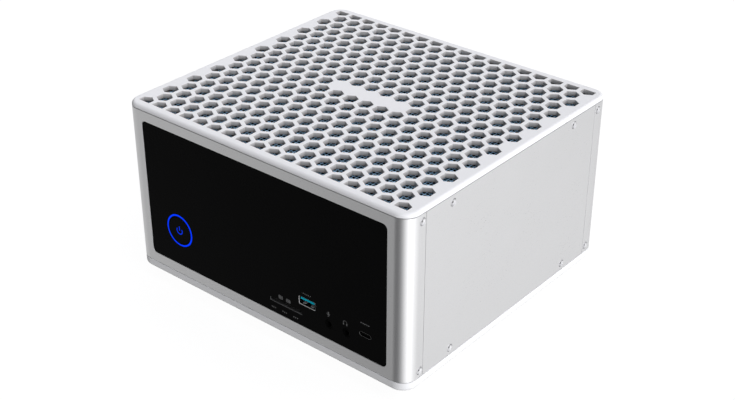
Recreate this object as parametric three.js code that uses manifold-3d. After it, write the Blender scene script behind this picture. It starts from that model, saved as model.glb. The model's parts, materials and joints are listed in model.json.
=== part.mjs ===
// Liquid-cooled mini PC: a flat aluminium case with a white honeycomb top cover and a white bottom cover,
// a black front panel with ports and a lit power button, and the cooling loop and boards inside it.
// Millimetres, +Z up. The origin is on the floor under the middle of the case, and the front faces -Y.
import * as THREE from "three";
import { mergeGeometries, mergeVertices } from "three/addons/utils/BufferGeometryUtils.js";
import Module from "manifold-3d";

const wasm = await Module();
wasm.setup();

// ---------------------------------------------------------------- driving dimensions
const WIDTH = 225; // along X
const DEPTH = 203; // along Y
const HEIGHT = 128; // feet to top cover
const CORNER = 10; // upright corner radius of the case
const GAP = 0.3; // clearance between touching pieces
const RIM = 2.5; // rounded edge of both white covers

const SHELL = 2.5; // thickness of the aluminium panels
const SHELL_LOW = 16.1;
const SHELL_HIGH = 125.2;
const SEAM_Y = 85.7; // the upright seams between the end frames and the side panels

const OPENING_WIDTH = 196; // the black panel and the rear plate both fill an opening of this size
const OPENING_HEIGHT = 95;
const OPENING_Z = 70.6;
const OPENING_CORNER = 3;

const HOLE_PITCH = 12; // honeycomb of the top cover
const HOLE_FLATS = 9.7;
const HOLE_ROWS = 19;
const LONG_ROW = 18; // holes in the first row and every second one after it, one fewer in the others
const HOLE_LIMIT_Y = 95.2; // the outer rows are cut straight here
const BLANK_HALF_WIDTH = 30; // the pad without holes in the middle row
const GRILLE = 3; // plate thickness
const SKIRT = { x: 108.9, y: 98.2, wall: 1.7, corner: 6.2, low: 122 }; // reaches down inside the shell
const DUST_MESH_Z = [124.1, 124.6];

const BASE_LOW = 9.6; // underside of the bottom cover
const BASE_HIGH = 15.8;
const FOOT_X = 95.4;
const FOOT_Y = 80.5;
const FOOT_LOW = 2;
const PAD_RADIUS = 5.5;

const SCREW_HEAD = 2.5; // radii of the side screws
const SCREW_SHANK = 1.3;
const SCREW_TOP_Z = 120.3;
const SCREW_LOW_Z = 20.8;
const STRIP_SCREWS = [
  [88.8, SCREW_TOP_Z],
  [88.8, SCREW_LOW_Z],
]; // distance from the middle along Y, and height
const PANEL_SCREWS = [
  [61.5, SCREW_TOP_Z],
  [60, SCREW_LOW_Z],
];

const BUTTON = { x: -71.1, z: 48.9, radius: 9.25, ringInner: 9.55, ringOuter: 11.25 };
const USB_A = { x: 37.5, z: 41.2, width: 13.3, height: 5.8 };
const USB_C = { x: 82.5, z: 38.6, width: 9.1, height: 3.5 };
const JACKS = { mic_jack: 54.7, headphone_jack: 68.3 }; // X of each audio jack
const JACK_Z = 33.9;
const JACK_RADIUS = 2.9;
const CARD = { x: 20.3, z: 31.9, width: 26.2, height: 2.8 };

const FRONT_FACE = -DEPTH / 2;
const REAR_PLATE_Y = 97.2; // inner face of the recessed rear plate
const BOARD_Z = 24; // underside of the motherboard
const BOARD = 1.6;
const SOCKET_LOW = BOARD_Z + BOARD + GAP;
const SOCKET_MOUTH_Y = 99;
const SOCKET_BACK_Y = 79;
const LAN_X = [-51.6, -35.2];
const DC_X = [-86, -72];
const USB_REAR_X = [-14, 1];
const VIDEO_X = [26, 48, 70];
const ANTENNA = { x: 88, z: 106 };

const CHASSIS_Z = 17.5;
const SHEET = 1.2; // chassis sheet metal
const WALL_X = [108, 109.5];
const FAN = { x: 13, y: 0, size: 120, low: 71.5, high: 96.5, duct: 58 };
const RADIATOR = { x: [-62, 88], y: [-62, 62], z: [97.5, 121] };
const PUMP = { x: -62, y: 8, low: 28.5, high: 58, chamber: 17 };
const PLATE_PORT = { x: [30, 60], y: -48, z: 41 }; // where the hoses meet the graphics cold plate
const HOSE = 4.5; // outer radius
const COLLAR = 5.5; // radius of the hose fittings

// ---------------------------------------------------------------- solids
function toSolid(geometry) {
  const bare = geometry.clone();
  bare.deleteAttribute("normal");
  bare.deleteAttribute("uv");
  const merged = mergeVertices(bare, 1e-4);
  const data = { numProp: 3, vertProperties: merged.attributes.position.array };
  data.triVerts = new Uint32Array(merged.index.array);
  return new wasm.Manifold(new wasm.Mesh(data));
}

function toGeometry(solid) {
  const mesh = solid.getMesh();
  const geometry = new THREE.BufferGeometry();
  geometry.setAttribute("position", new THREE.BufferAttribute(new Float32Array(mesh.vertProperties), 3));
  geometry.setIndex(new THREE.BufferAttribute(mesh.triVerts, 1));
  geometry.computeVertexNormals();
  return geometry;
}

const join = (...solids) => solids.reduce((all, next) => all.add(next));
const cut = (body, ...tools) => tools.reduce((left, tool) => left.subtract(tool), body);

function block([x0, x1], [y0, y1], [z0, z1]) {
  const geometry = new THREE.BoxGeometry(x1 - x0, y1 - y0, z1 - z0);
  return toSolid(geometry.translate((x0 + x1) / 2, (y0 + y1) / 2, (z0 + z1) / 2));
}

// A cone or cylinder along an axis, from its low end to its high end, about the other two coordinates.
function rod(axis, [low, high], [u, v], radius, sides = 16, highRadius = radius) {
  const geometry = new THREE.CylinderGeometry(highRadius, radius, high - low, sides);
  const middle = (low + high) / 2;
  if (axis === "x") geometry.rotateZ(-Math.PI / 2).translate(middle, u, v);
  if (axis === "y") geometry.translate(u, middle, v);
  if (axis === "z") geometry.rotateX(Math.PI / 2).translate(u, v, middle);
  return toSolid(geometry);
}

function roundedRect(width, height, radius, x = 0, y = 0) {
  const shape = new THREE.Shape();
  const halfX = width / 2 - radius;
  const halfY = height / 2 - radius;
  shape.absarc(x + halfX, y + halfY, radius, 0, Math.PI / 2);
  shape.absarc(x - halfX, y + halfY, radius, Math.PI / 2, Math.PI);
  shape.absarc(x - halfX, y - halfY, radius, Math.PI, 1.5 * Math.PI);
  shape.absarc(x + halfX, y - halfY, radius, 1.5 * Math.PI, 2 * Math.PI);
  shape.closePath();
  return shape;
}

// A flat shape in X and Y, raised from z0 to z1.
function slab(shape, [z0, z1], curveSegments = 5) {
  const geometry = new THREE.ExtrudeGeometry(shape, { depth: z1 - z0, bevelEnabled: false, curveSegments });
  return toSolid(geometry.translate(0, 0, z0));
}

// A flat shape in X and Z, running from y0 to y1.
function wall(shape, [y0, y1], curveSegments = 3) {
  const geometry = new THREE.ExtrudeGeometry(shape, { depth: y1 - y0, bevelEnabled: false, curveSegments });
  return toSolid(geometry.rotateX(Math.PI / 2).translate(0, y1, 0));
}

// The case's plan with both its flat faces rounded over, before it is cut to a cover.
function roundedSlab(low, high) {
  const face = roundedRect(WIDTH - 2 * RIM, DEPTH - 2 * RIM, CORNER - RIM);
  const depth = high - low - 2 * RIM;
  const bevel = { bevelThickness: RIM, bevelSize: RIM, bevelSegments: 3 };
  const geometry = new THREE.ExtrudeGeometry(face, { depth, curveSegments: 5, ...bevel });
  return toSolid(geometry.translate(0, 0, low + RIM));
}

// A slice of everything between two heights.
const layer = (z0, z1) => block([-WIDTH, WIDTH], [-DEPTH, DEPTH], [z0, z1]);

// A tube's outer shape along a smooth curve through the points.
function hoseSolid(points) {
  const path = new THREE.CatmullRomCurve3(points.map((p) => new THREE.Vector3(...p)), false, "centripetal");
  const section = new THREE.Shape();
  section.absarc(0, 0, HOSE, 0, 2 * Math.PI);
  const geometry = new THREE.ExtrudeGeometry(section, { steps: 20, extrudePath: path, curveSegments: 4 });
  return toSolid(geometry);
}

// ---------------------------------------------------------------- materials
function finish(color, roughness, metalness = 0) {
  return () => new THREE.MeshStandardMaterial({ color, roughness, metalness });
}
const WHITE = finish("#e6e6ea", 0.45);
const ALUMINIUM = finish("#c3c4c5", 0.42, 0.9);
const BLACK_GLOSS = finish("#0d0d0d", 0.12);
const BLACK_PLASTIC = finish("#161616", 0.5);
const BLUE_LIGHT = finish("#0a3cff", 0.3);
const MESH_STEEL = finish("#30465a", 0.5, 0.6);
const RUBBER = finish("#3a3b3d", 0.9);
const STEEL = finish("#b9bbbe", 0.35, 1);
const SHEET_STEEL = finish("#8f9498", 0.5, 0.9);
const TEAL = finish("#1496af", 0.4);
const BOARD_BLACK = finish("#15191a", 0.55);
const COPPER = finish("#b9714a", 0.35, 1);
const HOSE_RUBBER = finish("#101112", 0.7);

const model = new THREE.Group();
function place(name, solid, material) {
  const mesh = new THREE.Mesh(toGeometry(solid), material());
  mesh.name = name;
  model.add(mesh);
}

// ---------------------------------------------------------------- top cover and dust mesh
function hexagon(x, y) {
  const shape = new THREE.Shape();
  const corner = HOLE_FLATS / Math.sqrt(3);
  const points = [];
  for (let i = 0; i < 6; i += 1) {
    const angle = Math.PI / 6 + (i * Math.PI) / 3;
    const py = THREE.MathUtils.clamp(y + corner * Math.sin(angle), -HOLE_LIMIT_Y, HOLE_LIMIT_Y);
    const beyond = Math.abs(Math.cos(angle)) < 0.1 && Math.abs(py) === HOLE_LIMIT_Y;
    if (!beyond) points.push(new THREE.Vector2(x + corner * Math.cos(angle), py));
  }
  return shape.setFromPoints(points);
}

function honeycomb(z0, z1) {
  const prisms = [];
  const middle = (HOLE_ROWS - 1) / 2;
  const settings = { depth: z1 - z0, bevelEnabled: false };
  for (let row = 0; row < HOLE_ROWS; row += 1) {
    const count = row % 2 === 0 ? LONG_ROW : LONG_ROW - 1;
    const y = (middle - row) * HOLE_PITCH * Math.sin(Math.PI / 3);
    for (let i = 0; i < count; i += 1) {
      const x = (i - (count - 1) / 2) * HOLE_PITCH;
      const blank = row === middle && Math.abs(x) < BLANK_HALF_WIDTH;
      if (!blank) prisms.push(new THREE.ExtrudeGeometry(hexagon(x, y), settings));
    }
  }
  return toSolid(mergeGeometries(prisms).translate(0, 0, z0));
}

function topCover() {
  const skirtOuter = roundedRect(2 * SKIRT.x, 2 * SKIRT.y, SKIRT.corner);
  const innerSize = [2 * (SKIRT.x - SKIRT.wall), 2 * (SKIRT.y - SKIRT.wall)];
  const skirtInner = roundedRect(...innerSize, SKIRT.corner - SKIRT.wall);
  const cap = roundedSlab(HEIGHT - 4 * RIM, HEIGHT).intersect(layer(HEIGHT - RIM, HEIGHT + 1));
  const plate = slab(skirtOuter, [HEIGHT - GRILLE, HEIGHT - 1]);
  const skirt = cut(slab(skirtOuter, [SKIRT.low, HEIGHT - 1]), slab(skirtInner, [0, HEIGHT - GRILLE]));
  return cut(join(cap, plate, skirt), honeycomb(HEIGHT - 2 * GRILLE, HEIGHT + 1));
}
place("top_cover", topCover(), WHITE);

function dustMesh() {
  const inset = SKIRT.wall + GAP;
  const corner = SKIRT.corner - SKIRT.wall;
  return slab(roundedRect(2 * (SKIRT.x - inset), 2 * (SKIRT.y - inset), corner), DUST_MESH_Z, 2);
}
place("dust_mesh", dustMesh(), MESH_STEEL);

// ---------------------------------------------------------------- aluminium shell
// Counterbored holes for the side screws, at one height.
function screwHole(side, y, z) {
  const face = (side * WIDTH) / 2;
  const through = rod("x", [face - 6, face + 6], [y, z], SCREW_SHANK + 0.5, 6);
  const sink = side > 0 ? [face - 1.1, face + 1] : [face - 1, face + 1.1];
  return join(through, rod("x", sink, [y, z], SCREW_HEAD + 0.3, 10));
}

// The outline of the front and rear openings, grown by a margin.
function openingShape(margin, corner) {
  return roundedRect(OPENING_WIDTH + 2 * margin, OPENING_HEIGHT + 2 * margin, corner, 0, OPENING_Z);
}

function endFrame(end) {
  const outer = slab(roundedRect(WIDTH, DEPTH, CORNER), [SHELL_LOW, SHELL_HIGH]);
  const inner = roundedRect(WIDTH - 2 * SHELL, DEPTH - 2 * SHELL, CORNER - SHELL);
  const tube = cut(outer, slab(inner, [0, HEIGHT]));
  const seam = SEAM_Y + GAP / 2;
  const half = block([-WIDTH, WIDTH], end < 0 ? [-DEPTH, -seam] : [seam, DEPTH], [0, HEIGHT]);
  const opening = openingShape(GAP, OPENING_CORNER + GAP);
  const span = end < 0 ? [-DEPTH, -DEPTH / 2 + CORNER] : [DEPTH / 2 - CORNER, DEPTH];
  const screws = [-1, 1].flatMap((side) => STRIP_SCREWS.map(([y, z]) => screwHole(side, end * y, z)));
  return cut(tube.intersect(half), wall(opening, span), ...screws);
}
place("front_bezel", endFrame(-1), ALUMINIUM);
place("rear_frame", endFrame(1), ALUMINIUM);

function sidePanel(side) {
  const outer = (side * WIDTH) / 2;
  const across = side > 0 ? [outer - SHELL, outer] : [outer, outer + SHELL];
  const edge = SEAM_Y - GAP / 2;
  const holes = PANEL_SCREWS.flatMap(([y, z]) => [screwHole(side, -y, z), screwHole(side, y, z)]);
  return cut(block(across, [-edge, edge], [SHELL_LOW, SHELL_HIGH]), ...holes);
}
place("side_panel_right", sidePanel(1), ALUMINIUM);
place("side_panel_left", sidePanel(-1), ALUMINIUM);

// A button-head screw driven in from the side, its crown level with the shell.
function sideScrew(side, y, z) {
  const crown = WIDTH / 2 - 0.05;
  const underHead = crown - 0.85;
  const profile = [
    [0, crown - 7],
    [SCREW_SHANK, crown - 7],
    [SCREW_SHANK, underHead],
    [SCREW_HEAD, underHead],
    [SCREW_HEAD - 0.5, crown],
    [0, crown],
  ];
  const turned = new THREE.LatheGeometry(profile.map(([r, h]) => new THREE.Vector2(r, h)), 8);
  const socket = new THREE.CylinderGeometry(1, 1, 1.1, 6).translate(0, crown, 0);
  const lie = (geometry) => toSolid(geometry.rotateZ((-side * Math.PI) / 2).translate(0, y, z));
  return cut(lie(turned), lie(socket));
}
for (const side of [-1, 1]) {
  const name = side > 0 ? "right" : "left";
  [...PANEL_SCREWS, ...STRIP_SCREWS].forEach(([y, z], i) => {
    place(`side_screw_${name}_front_${i + 1}`, sideScrew(side, -y, z), STEEL);
    place(`side_screw_${name}_rear_${i + 1}`, sideScrew(side, y, z), STEEL);
  });
}

// ---------------------------------------------------------------- bottom cover and feet
const CORNERS = [
  ["front_left", -1, -1],
  ["front_right", 1, -1],
  ["rear_left", -1, 1],
  ["rear_right", 1, 1],
];
function bottomCover() {
  const floor = 2.4;
  const wallThickness = 2.5;
  const dish = roundedSlab(BASE_LOW, BASE_LOW + 6 * RIM).intersect(layer(0, BASE_HIGH));
  const inner = roundedRect(WIDTH - 2 * wallThickness, DEPTH - 2 * wallThickness, CORNER - wallThickness);
  let cover = cut(dish, slab(inner, [BASE_LOW + floor, HEIGHT]));
  for (const [, sx, sy] of CORNERS) {
    const at = [sx * FOOT_X, sy * FOOT_Y];
    const foot = rod("z", [FOOT_LOW, BASE_LOW + 1], at, 9, 16, 9.6);
    const post = rod("z", [BASE_LOW + 1, CHASSIS_Z - GAP], at, 4, 8);
    cover = cut(join(cover, foot, post), rod("z", [0, FOOT_LOW + 0.9], at, PAD_RADIUS + 0.5, 12));
  }
  for (let i = -4; i <= 4; i += 1) {
    const x = 13 * i;
    cover = cut(cover, block([x - 3, x + 3], [-38, 38], [0, BASE_HIGH]));
  }
  return cover;
}
place("bottom_cover", bottomCover(), WHITE);
for (const [name, sx, sy] of CORNERS) {
  place(`foot_pad_${name}`, rod("z", [0, 2.6], [sx * FOOT_X, sy * FOOT_Y], PAD_RADIUS, 12), RUBBER);
}

// ---------------------------------------------------------------- front panel, power button and ports
const PANEL_FRONT = FRONT_FACE + 0.05;
const PANEL_BACK = -97.2;
const THROUGH = [FRONT_FACE - 5, PANEL_BACK + 5];

function frontPanel() {
  const face = wall(openingShape(0, OPENING_CORNER), [PANEL_FRONT, PANEL_BACK]);
  const flange = wall(openingShape(3, OPENING_CORNER), [FRONT_FACE + SHELL + GAP, PANEL_BACK]);
  const usbA = roundedRect(USB_A.width + 2 * GAP, USB_A.height + 2 * GAP, 0.3, USB_A.x, USB_A.z);
  const usbC = roundedRect(USB_C.width + 2 * GAP, USB_C.height + 2 * GAP, 2, USB_C.x, USB_C.z);
  const card = roundedRect(CARD.width, CARD.height, 0.6, CARD.x, CARD.z);
  const jacks = Object.values(JACKS).map((x) => rod("y", THROUGH, [x, JACK_Z], JACK_RADIUS + GAP, 16));
  const lightHole = rod("y", THROUGH, [BUTTON.x, BUTTON.z], BUTTON.ringOuter + GAP + 0.1, 24);
  const sockets = [usbA, usbC, card].map((shape) => wall(shape, THROUGH));
  return cut(join(face, flange), ...sockets, lightHole, ...jacks);
}
place("front_panel", frontPanel(), BLACK_GLOSS);

// Round pieces about the power button's axis, given as radius and Y.
function turnedAboutButton(profile) {
  const points = profile.map(([r, y]) => new THREE.Vector2(r, y));
  return toSolid(new THREE.LatheGeometry(points, 24).translate(BUTTON.x, 0, BUTTON.z));
}
const ringLight = [
  [BUTTON.ringInner, PANEL_FRONT],
  [BUTTON.ringOuter, PANEL_FRONT],
  [BUTTON.ringOuter, -96.9],
  [BUTTON.ringOuter + 2, -96.9],
  [BUTTON.ringOuter + 2, -95.9],
  [BUTTON.ringInner, -95.9],
  [BUTTON.ringInner, PANEL_FRONT],
];
place("power_ring_light", turnedAboutButton(ringLight), BLUE_LIGHT);
const BUTTON_STEM_END = -88.2;
const BUTTON_TRAVEL = 0.8;
const button = [
  [0, PANEL_FRONT],
  [BUTTON.radius, PANEL_FRONT],
  [BUTTON.radius, -95.6],
  [BUTTON.radius + 1.8, -95.6],
  [BUTTON.radius + 1.8, -94.4],
  [2.5, -94.4],
  [2.5, BUTTON_STEM_END],
  [0, BUTTON_STEM_END],
];
place("power_button", turnedAboutButton(button), BLACK_GLOSS);

const FRONT_BOARD_Y = -84; // face of the upright board behind the ports
const PORT_MOUTH = PANEL_FRONT + 0.15;
const PORT_SPAN = [PORT_MOUTH, FRONT_BOARD_Y - GAP];

function usbAPort() {
  const { x, z, width, height } = USB_A;
  const box = (depth, inset) => {
    const halfX = width / 2 - inset;
    const halfZ = height / 2 - inset;
    return block([x - halfX, x + halfX], depth, [z - halfZ, z + halfZ]);
  };
  const shell = box(PORT_SPAN, 0);
  const hollow = box([PORT_MOUTH - 1, FRONT_BOARD_Y - 2], 0.4);
  const tongue = block([x - 5.6, x + 5.6], [PORT_MOUTH + 0.7, FRONT_BOARD_Y - 1], [z + 0.4, z + 2.2]);
  return join(cut(shell, hollow), tongue);
}
place("usb_a_port", usbAPort(), TEAL);

function usbCPort() {
  const { x, z, width, height } = USB_C;
  const shell = wall(roundedRect(width, height, 1.7, x, z), PORT_SPAN);
  const inside = roundedRect(width - 0.8, height - 0.8, 1.3, x, z);
  const hollow = wall(inside, [PORT_MOUTH - 1, FRONT_BOARD_Y - 6]);
  const tongue = block([x - 3.3, x + 3.3], [PORT_MOUTH + 0.8, FRONT_BOARD_Y - 5], [z - 0.35, z + 0.35]);
  return join(cut(shell, hollow), tongue);
}
place("usb_c_port", usbCPort(), STEEL);

for (const [name, x] of Object.entries(JACKS)) {
  const barrel = rod("y", PORT_SPAN, [x, JACK_Z], JACK_RADIUS, 16);
  const bore = rod("y", [PORT_MOUTH - 1, FRONT_BOARD_Y - 3], [x, JACK_Z], 1.75, 12);
  place(name, cut(barrel, bore), BLACK_PLASTIC);
}

function cardReader() {
  const { x, z } = CARD;
  const body = block([x - 14.2, x + 14.2], [PANEL_BACK + GAP, -73], [z - 2.4, z + 2.4]);
  return cut(body, block([x - 12.3, x + 12.3], [PANEL_BACK - 1, -76], [z - 1.2, z + 1.2]));
}
place("card_reader", cardReader(), BLACK_PLASTIC);

function frontBoard() {
  const { x, z } = BUTTON;
  const board = block([-90, 95], [FRONT_BOARD_Y, FRONT_BOARD_Y + BOARD], [26, 58]);
  const notch = block([CARD.x - 15, CARD.x + 15], [-90, -70], [20, CARD.z + 3]);
  const plunger = rod("y", [BUTTON_STEM_END + BUTTON_TRAVEL + 0.1, FRONT_BOARD_Y + 0.1], [x, z], 1.8, 12);
  const housing = block([x - 3, x + 3], [FRONT_BOARD_Y - 2.2, FRONT_BOARD_Y + 0.1], [z - 3, z + 3]);
  return join(cut(board, notch), plunger, housing);
}
place("front_board", frontBoard(), BOARD_BLACK);

// ---------------------------------------------------------------- rear plate and sockets
const SOCKETS = {
  dc: { x: [-92.5, -65.5], z: [SOCKET_LOW, 38.4] },
  lan: { x: [-60, -26.8], z: [SOCKET_LOW, 39.6] },
  usb: { x: [-21.5, 8.5], z: [SOCKET_LOW, 41.9] },
  video: { x: [15, 81], z: [SOCKET_LOW, 42.5] },
};
const POCKET_BACK_Y = 84;
const socketBlock = ({ x, z }) => block(x, [SOCKET_BACK_Y, SOCKET_MOUTH_Y], z);
function pocket(x, z, width, height) {
  const spanX = [x - width / 2, x + width / 2];
  return block(spanX, [POCKET_BACK_Y, SOCKET_MOUTH_Y + 1], [z - height / 2, z + height / 2]);
}
const tongueAt = (x, z, width) => block([x - width / 2, x + width / 2], [83, 98], [z, z + 1.2]);

function rearPlate() {
  const through = [REAR_PLATE_Y - 5, REAR_PLATE_Y + 8];
  let plate = wall(openingShape(3, OPENING_CORNER), [REAR_PLATE_Y, REAR_PLATE_Y + 1.5]);
  for (const { x, z } of Object.values(SOCKETS)) {
    plate = cut(plate, block([x[0] - GAP, x[1] + GAP], through, [z[0] - GAP, z[1] + GAP]));
  }
  for (const side of [-1, 1]) {
    plate = cut(plate, rod("y", through, [side * ANTENNA.x, ANTENNA.z], 3.5, 16));
  }
  for (let i = -8; i <= 8; i += 1) {
    const x = 9 * i;
    plate = cut(plate, block([x - 2, x + 2], through, [58, 104]));
  }
  return plate;
}
place("rear_plate", rearPlate(), SHEET_STEEL);

let dc = socketBlock(SOCKETS.dc);
for (const x of DC_X) {
  dc = cut(dc, rod("y", [POCKET_BACK_Y, SOCKET_MOUTH_Y + 1], [x, 32], 3.2, 16));
  dc = join(dc, rod("y", [83, 97.5], [x, 32], 1, 8));
}
place("dc_jacks", dc, BLACK_PLASTIC);
place("lan_sockets", cut(socketBlock(SOCKETS.lan), ...LAN_X.map((x) => pocket(x, 32.8, 11.8, 9))), STEEL);

let usbStack = socketBlock(SOCKETS.usb);
for (const x of USB_REAR_X) {
  for (const z of [30.2, 37.8]) {
    usbStack = cut(usbStack, pocket(x, z, 12.4, 5));
    usbStack = join(usbStack, tongueAt(x, z + 0.6, 11));
  }
}
place("usb_sockets", usbStack, STEEL);

let video = socketBlock(SOCKETS.video);
for (const x of VIDEO_X) {
  for (const z of x === VIDEO_X[2] ? [34] : [30.2, 38]) {
    video = cut(video, pocket(x, z, 15, 5));
    video = join(video, tongueAt(x, z - 0.6, 12));
  }
}
place("video_sockets", video, STEEL);

for (const side of [-1, 1]) {
  const at = [side * ANTENNA.x, ANTENNA.z];
  const barrel = rod("y", [88, 101.3], at, 3.1, 12);
  const nut = rod("y", [REAR_PLATE_Y + 1.8, 100.9], at, 4.6, 6);
  const bore = rod("y", [96, 102], at, 1.6, 10);
  place(side < 0 ? "antenna_jack_left" : "antenna_jack_right", cut(join(barrel, nut), bore), STEEL);
}

// ---------------------------------------------------------------- chassis and boards
function chassis() {
  const floorZ = [CHASSIS_Z, CHASSIS_Z + SHEET];
  const reach = [-92.2, 92.2];
  let frame = block([-WALL_X[1], WALL_X[1]], reach, floorZ);
  for (const side of [-1, 1]) {
    const across = side > 0 ? WALL_X : [-WALL_X[1], -WALL_X[0]];
    const beyond = side > 0 ? [100, 120] : [-120, -100];
    const upright = cut(block(across, reach, [CHASSIS_Z, 121.5]), block(beyond, [-46, 46], [48, 100]));
    const spots = [...PANEL_SCREWS, ...STRIP_SCREWS];
    const holes = spots.flatMap(([y, z]) => [-1, 1].map((end) => rod("x", beyond, [end * y, z], 1.7, 6)));
    frame = join(frame, cut(upright, ...holes));
  }
  frame = cut(frame, block([-64, 64], [-50, 40], [10, 22]));
  for (const x of [-88, 88]) {
    for (const y of [-66, 0, 66]) {
      frame = join(frame, rod("z", [CHASSIS_Z + 1, BOARD_Z - GAP], [x, y], 2.6, 8));
    }
  }
  return frame;
}
place("chassis", chassis(), SHEET_STEEL);

function motherboard() {
  const top = BOARD_Z + BOARD;
  const on = (x, y, z1) => block(x, y, [top - 0.2, z1]);
  const board = block([-95, 95], [-72, 93], [BOARD_Z, top]);
  const processor = on([PUMP.x - 18.5, PUMP.x + 18.5], [PUMP.y - 18.5, PUMP.y + 18.5], PUMP.low - GAP);
  const memorySlots = on([-92, -24], [-36.7, -30], 37);
  const storageSlot = on([-22, 0], [14.6, 20], 30.5);
  const radioSlot = on([-22, 0], [60.6, 65], 30.5);
  const graphicsSlot = on([4, 86], [43.6, 50], 33);
  const drives = on([10, 60], [56, 74], 32);
  const chokes = [-88, -76, -64, -52, -40].map((x) => on([x - 4.5, x + 4.5], [52, 62], 34));
  return join(board, processor, memorySlots, storageSlot, radioSlot, graphicsSlot, drives, ...chokes);
}
place("motherboard", motherboard(), BOARD_BLACK);

const MEMORY_LEVELS = { memory_module_lower: [29, -70], memory_module_upper: [33.4, -67] };
for (const [name, [z, front]] of Object.entries(MEMORY_LEVELS)) {
  const card = block([-91.8, -24.2], [front, -37], [z, z + 1.2]);
  const chip = (x) => block([x - 5.5, x + 5.5], [front + 8, front + 22], [z + 1, z + 2.4]);
  place(name, join(card, ...[-84, -66, -50, -32].map(chip)), BOARD_BLACK);
}

function ssdCard() {
  const card = block([-22, 0], [-66, 14.3], [28, 28.8]);
  const chips = [-50, -28, -6].map((y) => block([-18, -4], [y - 8, y + 8], [28.6, 30]));
  return join(card, ...chips);
}
place("ssd_card", ssdCard(), BOARD_BLACK);
const radioCan = block([-19, -3], [36, 52], [28.6, 30.2]);
place("wifi_card", join(block([-22, 0], [30, 60.3], [28, 28.8]), radioCan), STEEL);
place("storage_drive", block([-107.6, -100.6], [-50, 50], [40, 110]), STEEL);

function graphicsBoard() {
  const card = block([4, 86], [-62, 43.3], [30, 31.2]);
  const chip = block([25, 65], [-30, 10], [31, 33.4]);
  const memory = (x, y) => block([x - 6, x + 6], [y - 6, y + 6], [31, 32.3]);
  const rows = [-50, -36, 16, 30].flatMap((y) => [memory(16, y), memory(74, y)]);
  return join(card, chip, ...rows);
}
place("graphics_board", graphicsBoard(), BOARD_BLACK);

// ---------------------------------------------------------------- cooling loop
function coldPlate() {
  const plate = block([15, 75], [-40, 20], [33.7, 47.5]);
  const ports = PLATE_PORT.x.map((x) => rod("y", [PLATE_PORT.y, -39], [x, PLATE_PORT.z], COLLAR, 12));
  return join(plate, ...ports);
}
place("graphics_cold_plate", coldPlate(), COPPER);

const PUMP_OUTLET_X = PUMP.x + 12;
const PUMP_OUTLET_Z = 47;
const PUMP_TOP = 62;
function pump() {
  const { x, y, low, high, chamber } = PUMP;
  const foot = block([x - 30, x + 30], [y - 30, y + 30], [low, low + 5]);
  const housing = rod("z", [low + 4, high], [x, y], 28, 20);
  const outlet = rod("y", [y - 38, y - 15], [PUMP_OUTLET_X, PUMP_OUTLET_Z], COLLAR, 12);
  const inlet = rod("z", [high - 2, PUMP_TOP], [x - 12, y], COLLAR, 12);
  const hollow = rod("z", [40, 54], [x, y], chamber, 16);
  const outletBore = rod("y", [y - 40, y - 5], [PUMP_OUTLET_X, PUMP_OUTLET_Z], 3, 10);
  const inletBore = rod("z", [50, PUMP_TOP + 1], [x - 12, y], 3, 10);
  const pin = rod("z", [39, 50], [x, y], 1.6, 12);
  return join(cut(join(foot, housing, outlet, inlet), hollow, outletBore, inletBore), pin);
}
place("pump_block", pump(), COPPER);

function impeller() {
  const { x, y } = PUMP;
  const disc = rod("z", [42, 43.6], [x, y], 15, 20);
  const hub = rod("z", [42, 49], [x, y], 4.5, 16);
  const vanes = [];
  for (let i = 0; i < 6; i += 1) {
    const vane = new THREE.BoxGeometry(11, 1.4, 5).translate(9, 0, 46);
    vanes.push(toSolid(vane.rotateZ((i * Math.PI) / 3).translate(x, y, 0)));
  }
  return cut(join(disc, hub, ...vanes), rod("z", [40, 52], [x, y], 2, 12));
}
place("pump_impeller", impeller(), BLACK_PLASTIC);

const RADIATOR_PORT_X = -76;
const RADIATOR_PORT_Y = 40;
const RADIATOR_PORT_Z = 109;
function radiator() {
  const { x, y, z } = RADIATOR;
  const tank = 14;
  const core = block([x[0] + 1, x[1] - 1], [y[0] + 3, y[1] - 3], [z[0] + 4, z[1] - 4]);
  const rails = [y[0], y[1] - 3.2].map((at) => block(x, [at, at + 3.2], z));
  const tanks = [x[0], x[1] - tank].map((at) => block([at, at + tank], y, z));
  const tubes = [];
  for (let i = -3; i <= 3; i += 1) {
    tubes.push(block([x[0] + 1, x[1] - 1], [15 * i - 1, 15 * i + 1], [z[0] + 2, z[1] - 2]));
  }
  const ports = [-1, 1].map((end) =>
    rod("x", [RADIATOR_PORT_X, x[0] + 1], [end * RADIATOR_PORT_Y, RADIATOR_PORT_Z], COLLAR, 12),
  );
  return join(core, ...rails, ...tanks, ...tubes, ...ports);
}
place("radiator", radiator(), BLACK_PLASTIC);

function fanFrame() {
  const { x, y, size, low, high, duct } = FAN;
  const square = slab(roundedRect(size, size, 6, x, y), [low, high], 3);
  const frame = cut(square, rod("z", [low - 1, high + 1], [x, y], duct, 36));
  const spokes = [0, Math.PI / 2].map((angle) => {
    const bar = new THREE.BoxGeometry(2 * duct + 2, 4, 3).translate(0, 0, low + 1.5);
    return toSolid(bar.rotateZ(angle + Math.PI / 4).translate(x, y, 0));
  });
  const stator = rod("z", [low, low + 4], [x, y], 20, 20);
  const shaft = rod("z", [low + 1, low + 14], [x, y], 2, 12);
  return join(frame, ...spokes, stator, shaft);
}
place("fan_frame", fanFrame(), BLACK_PLASTIC);

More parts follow.
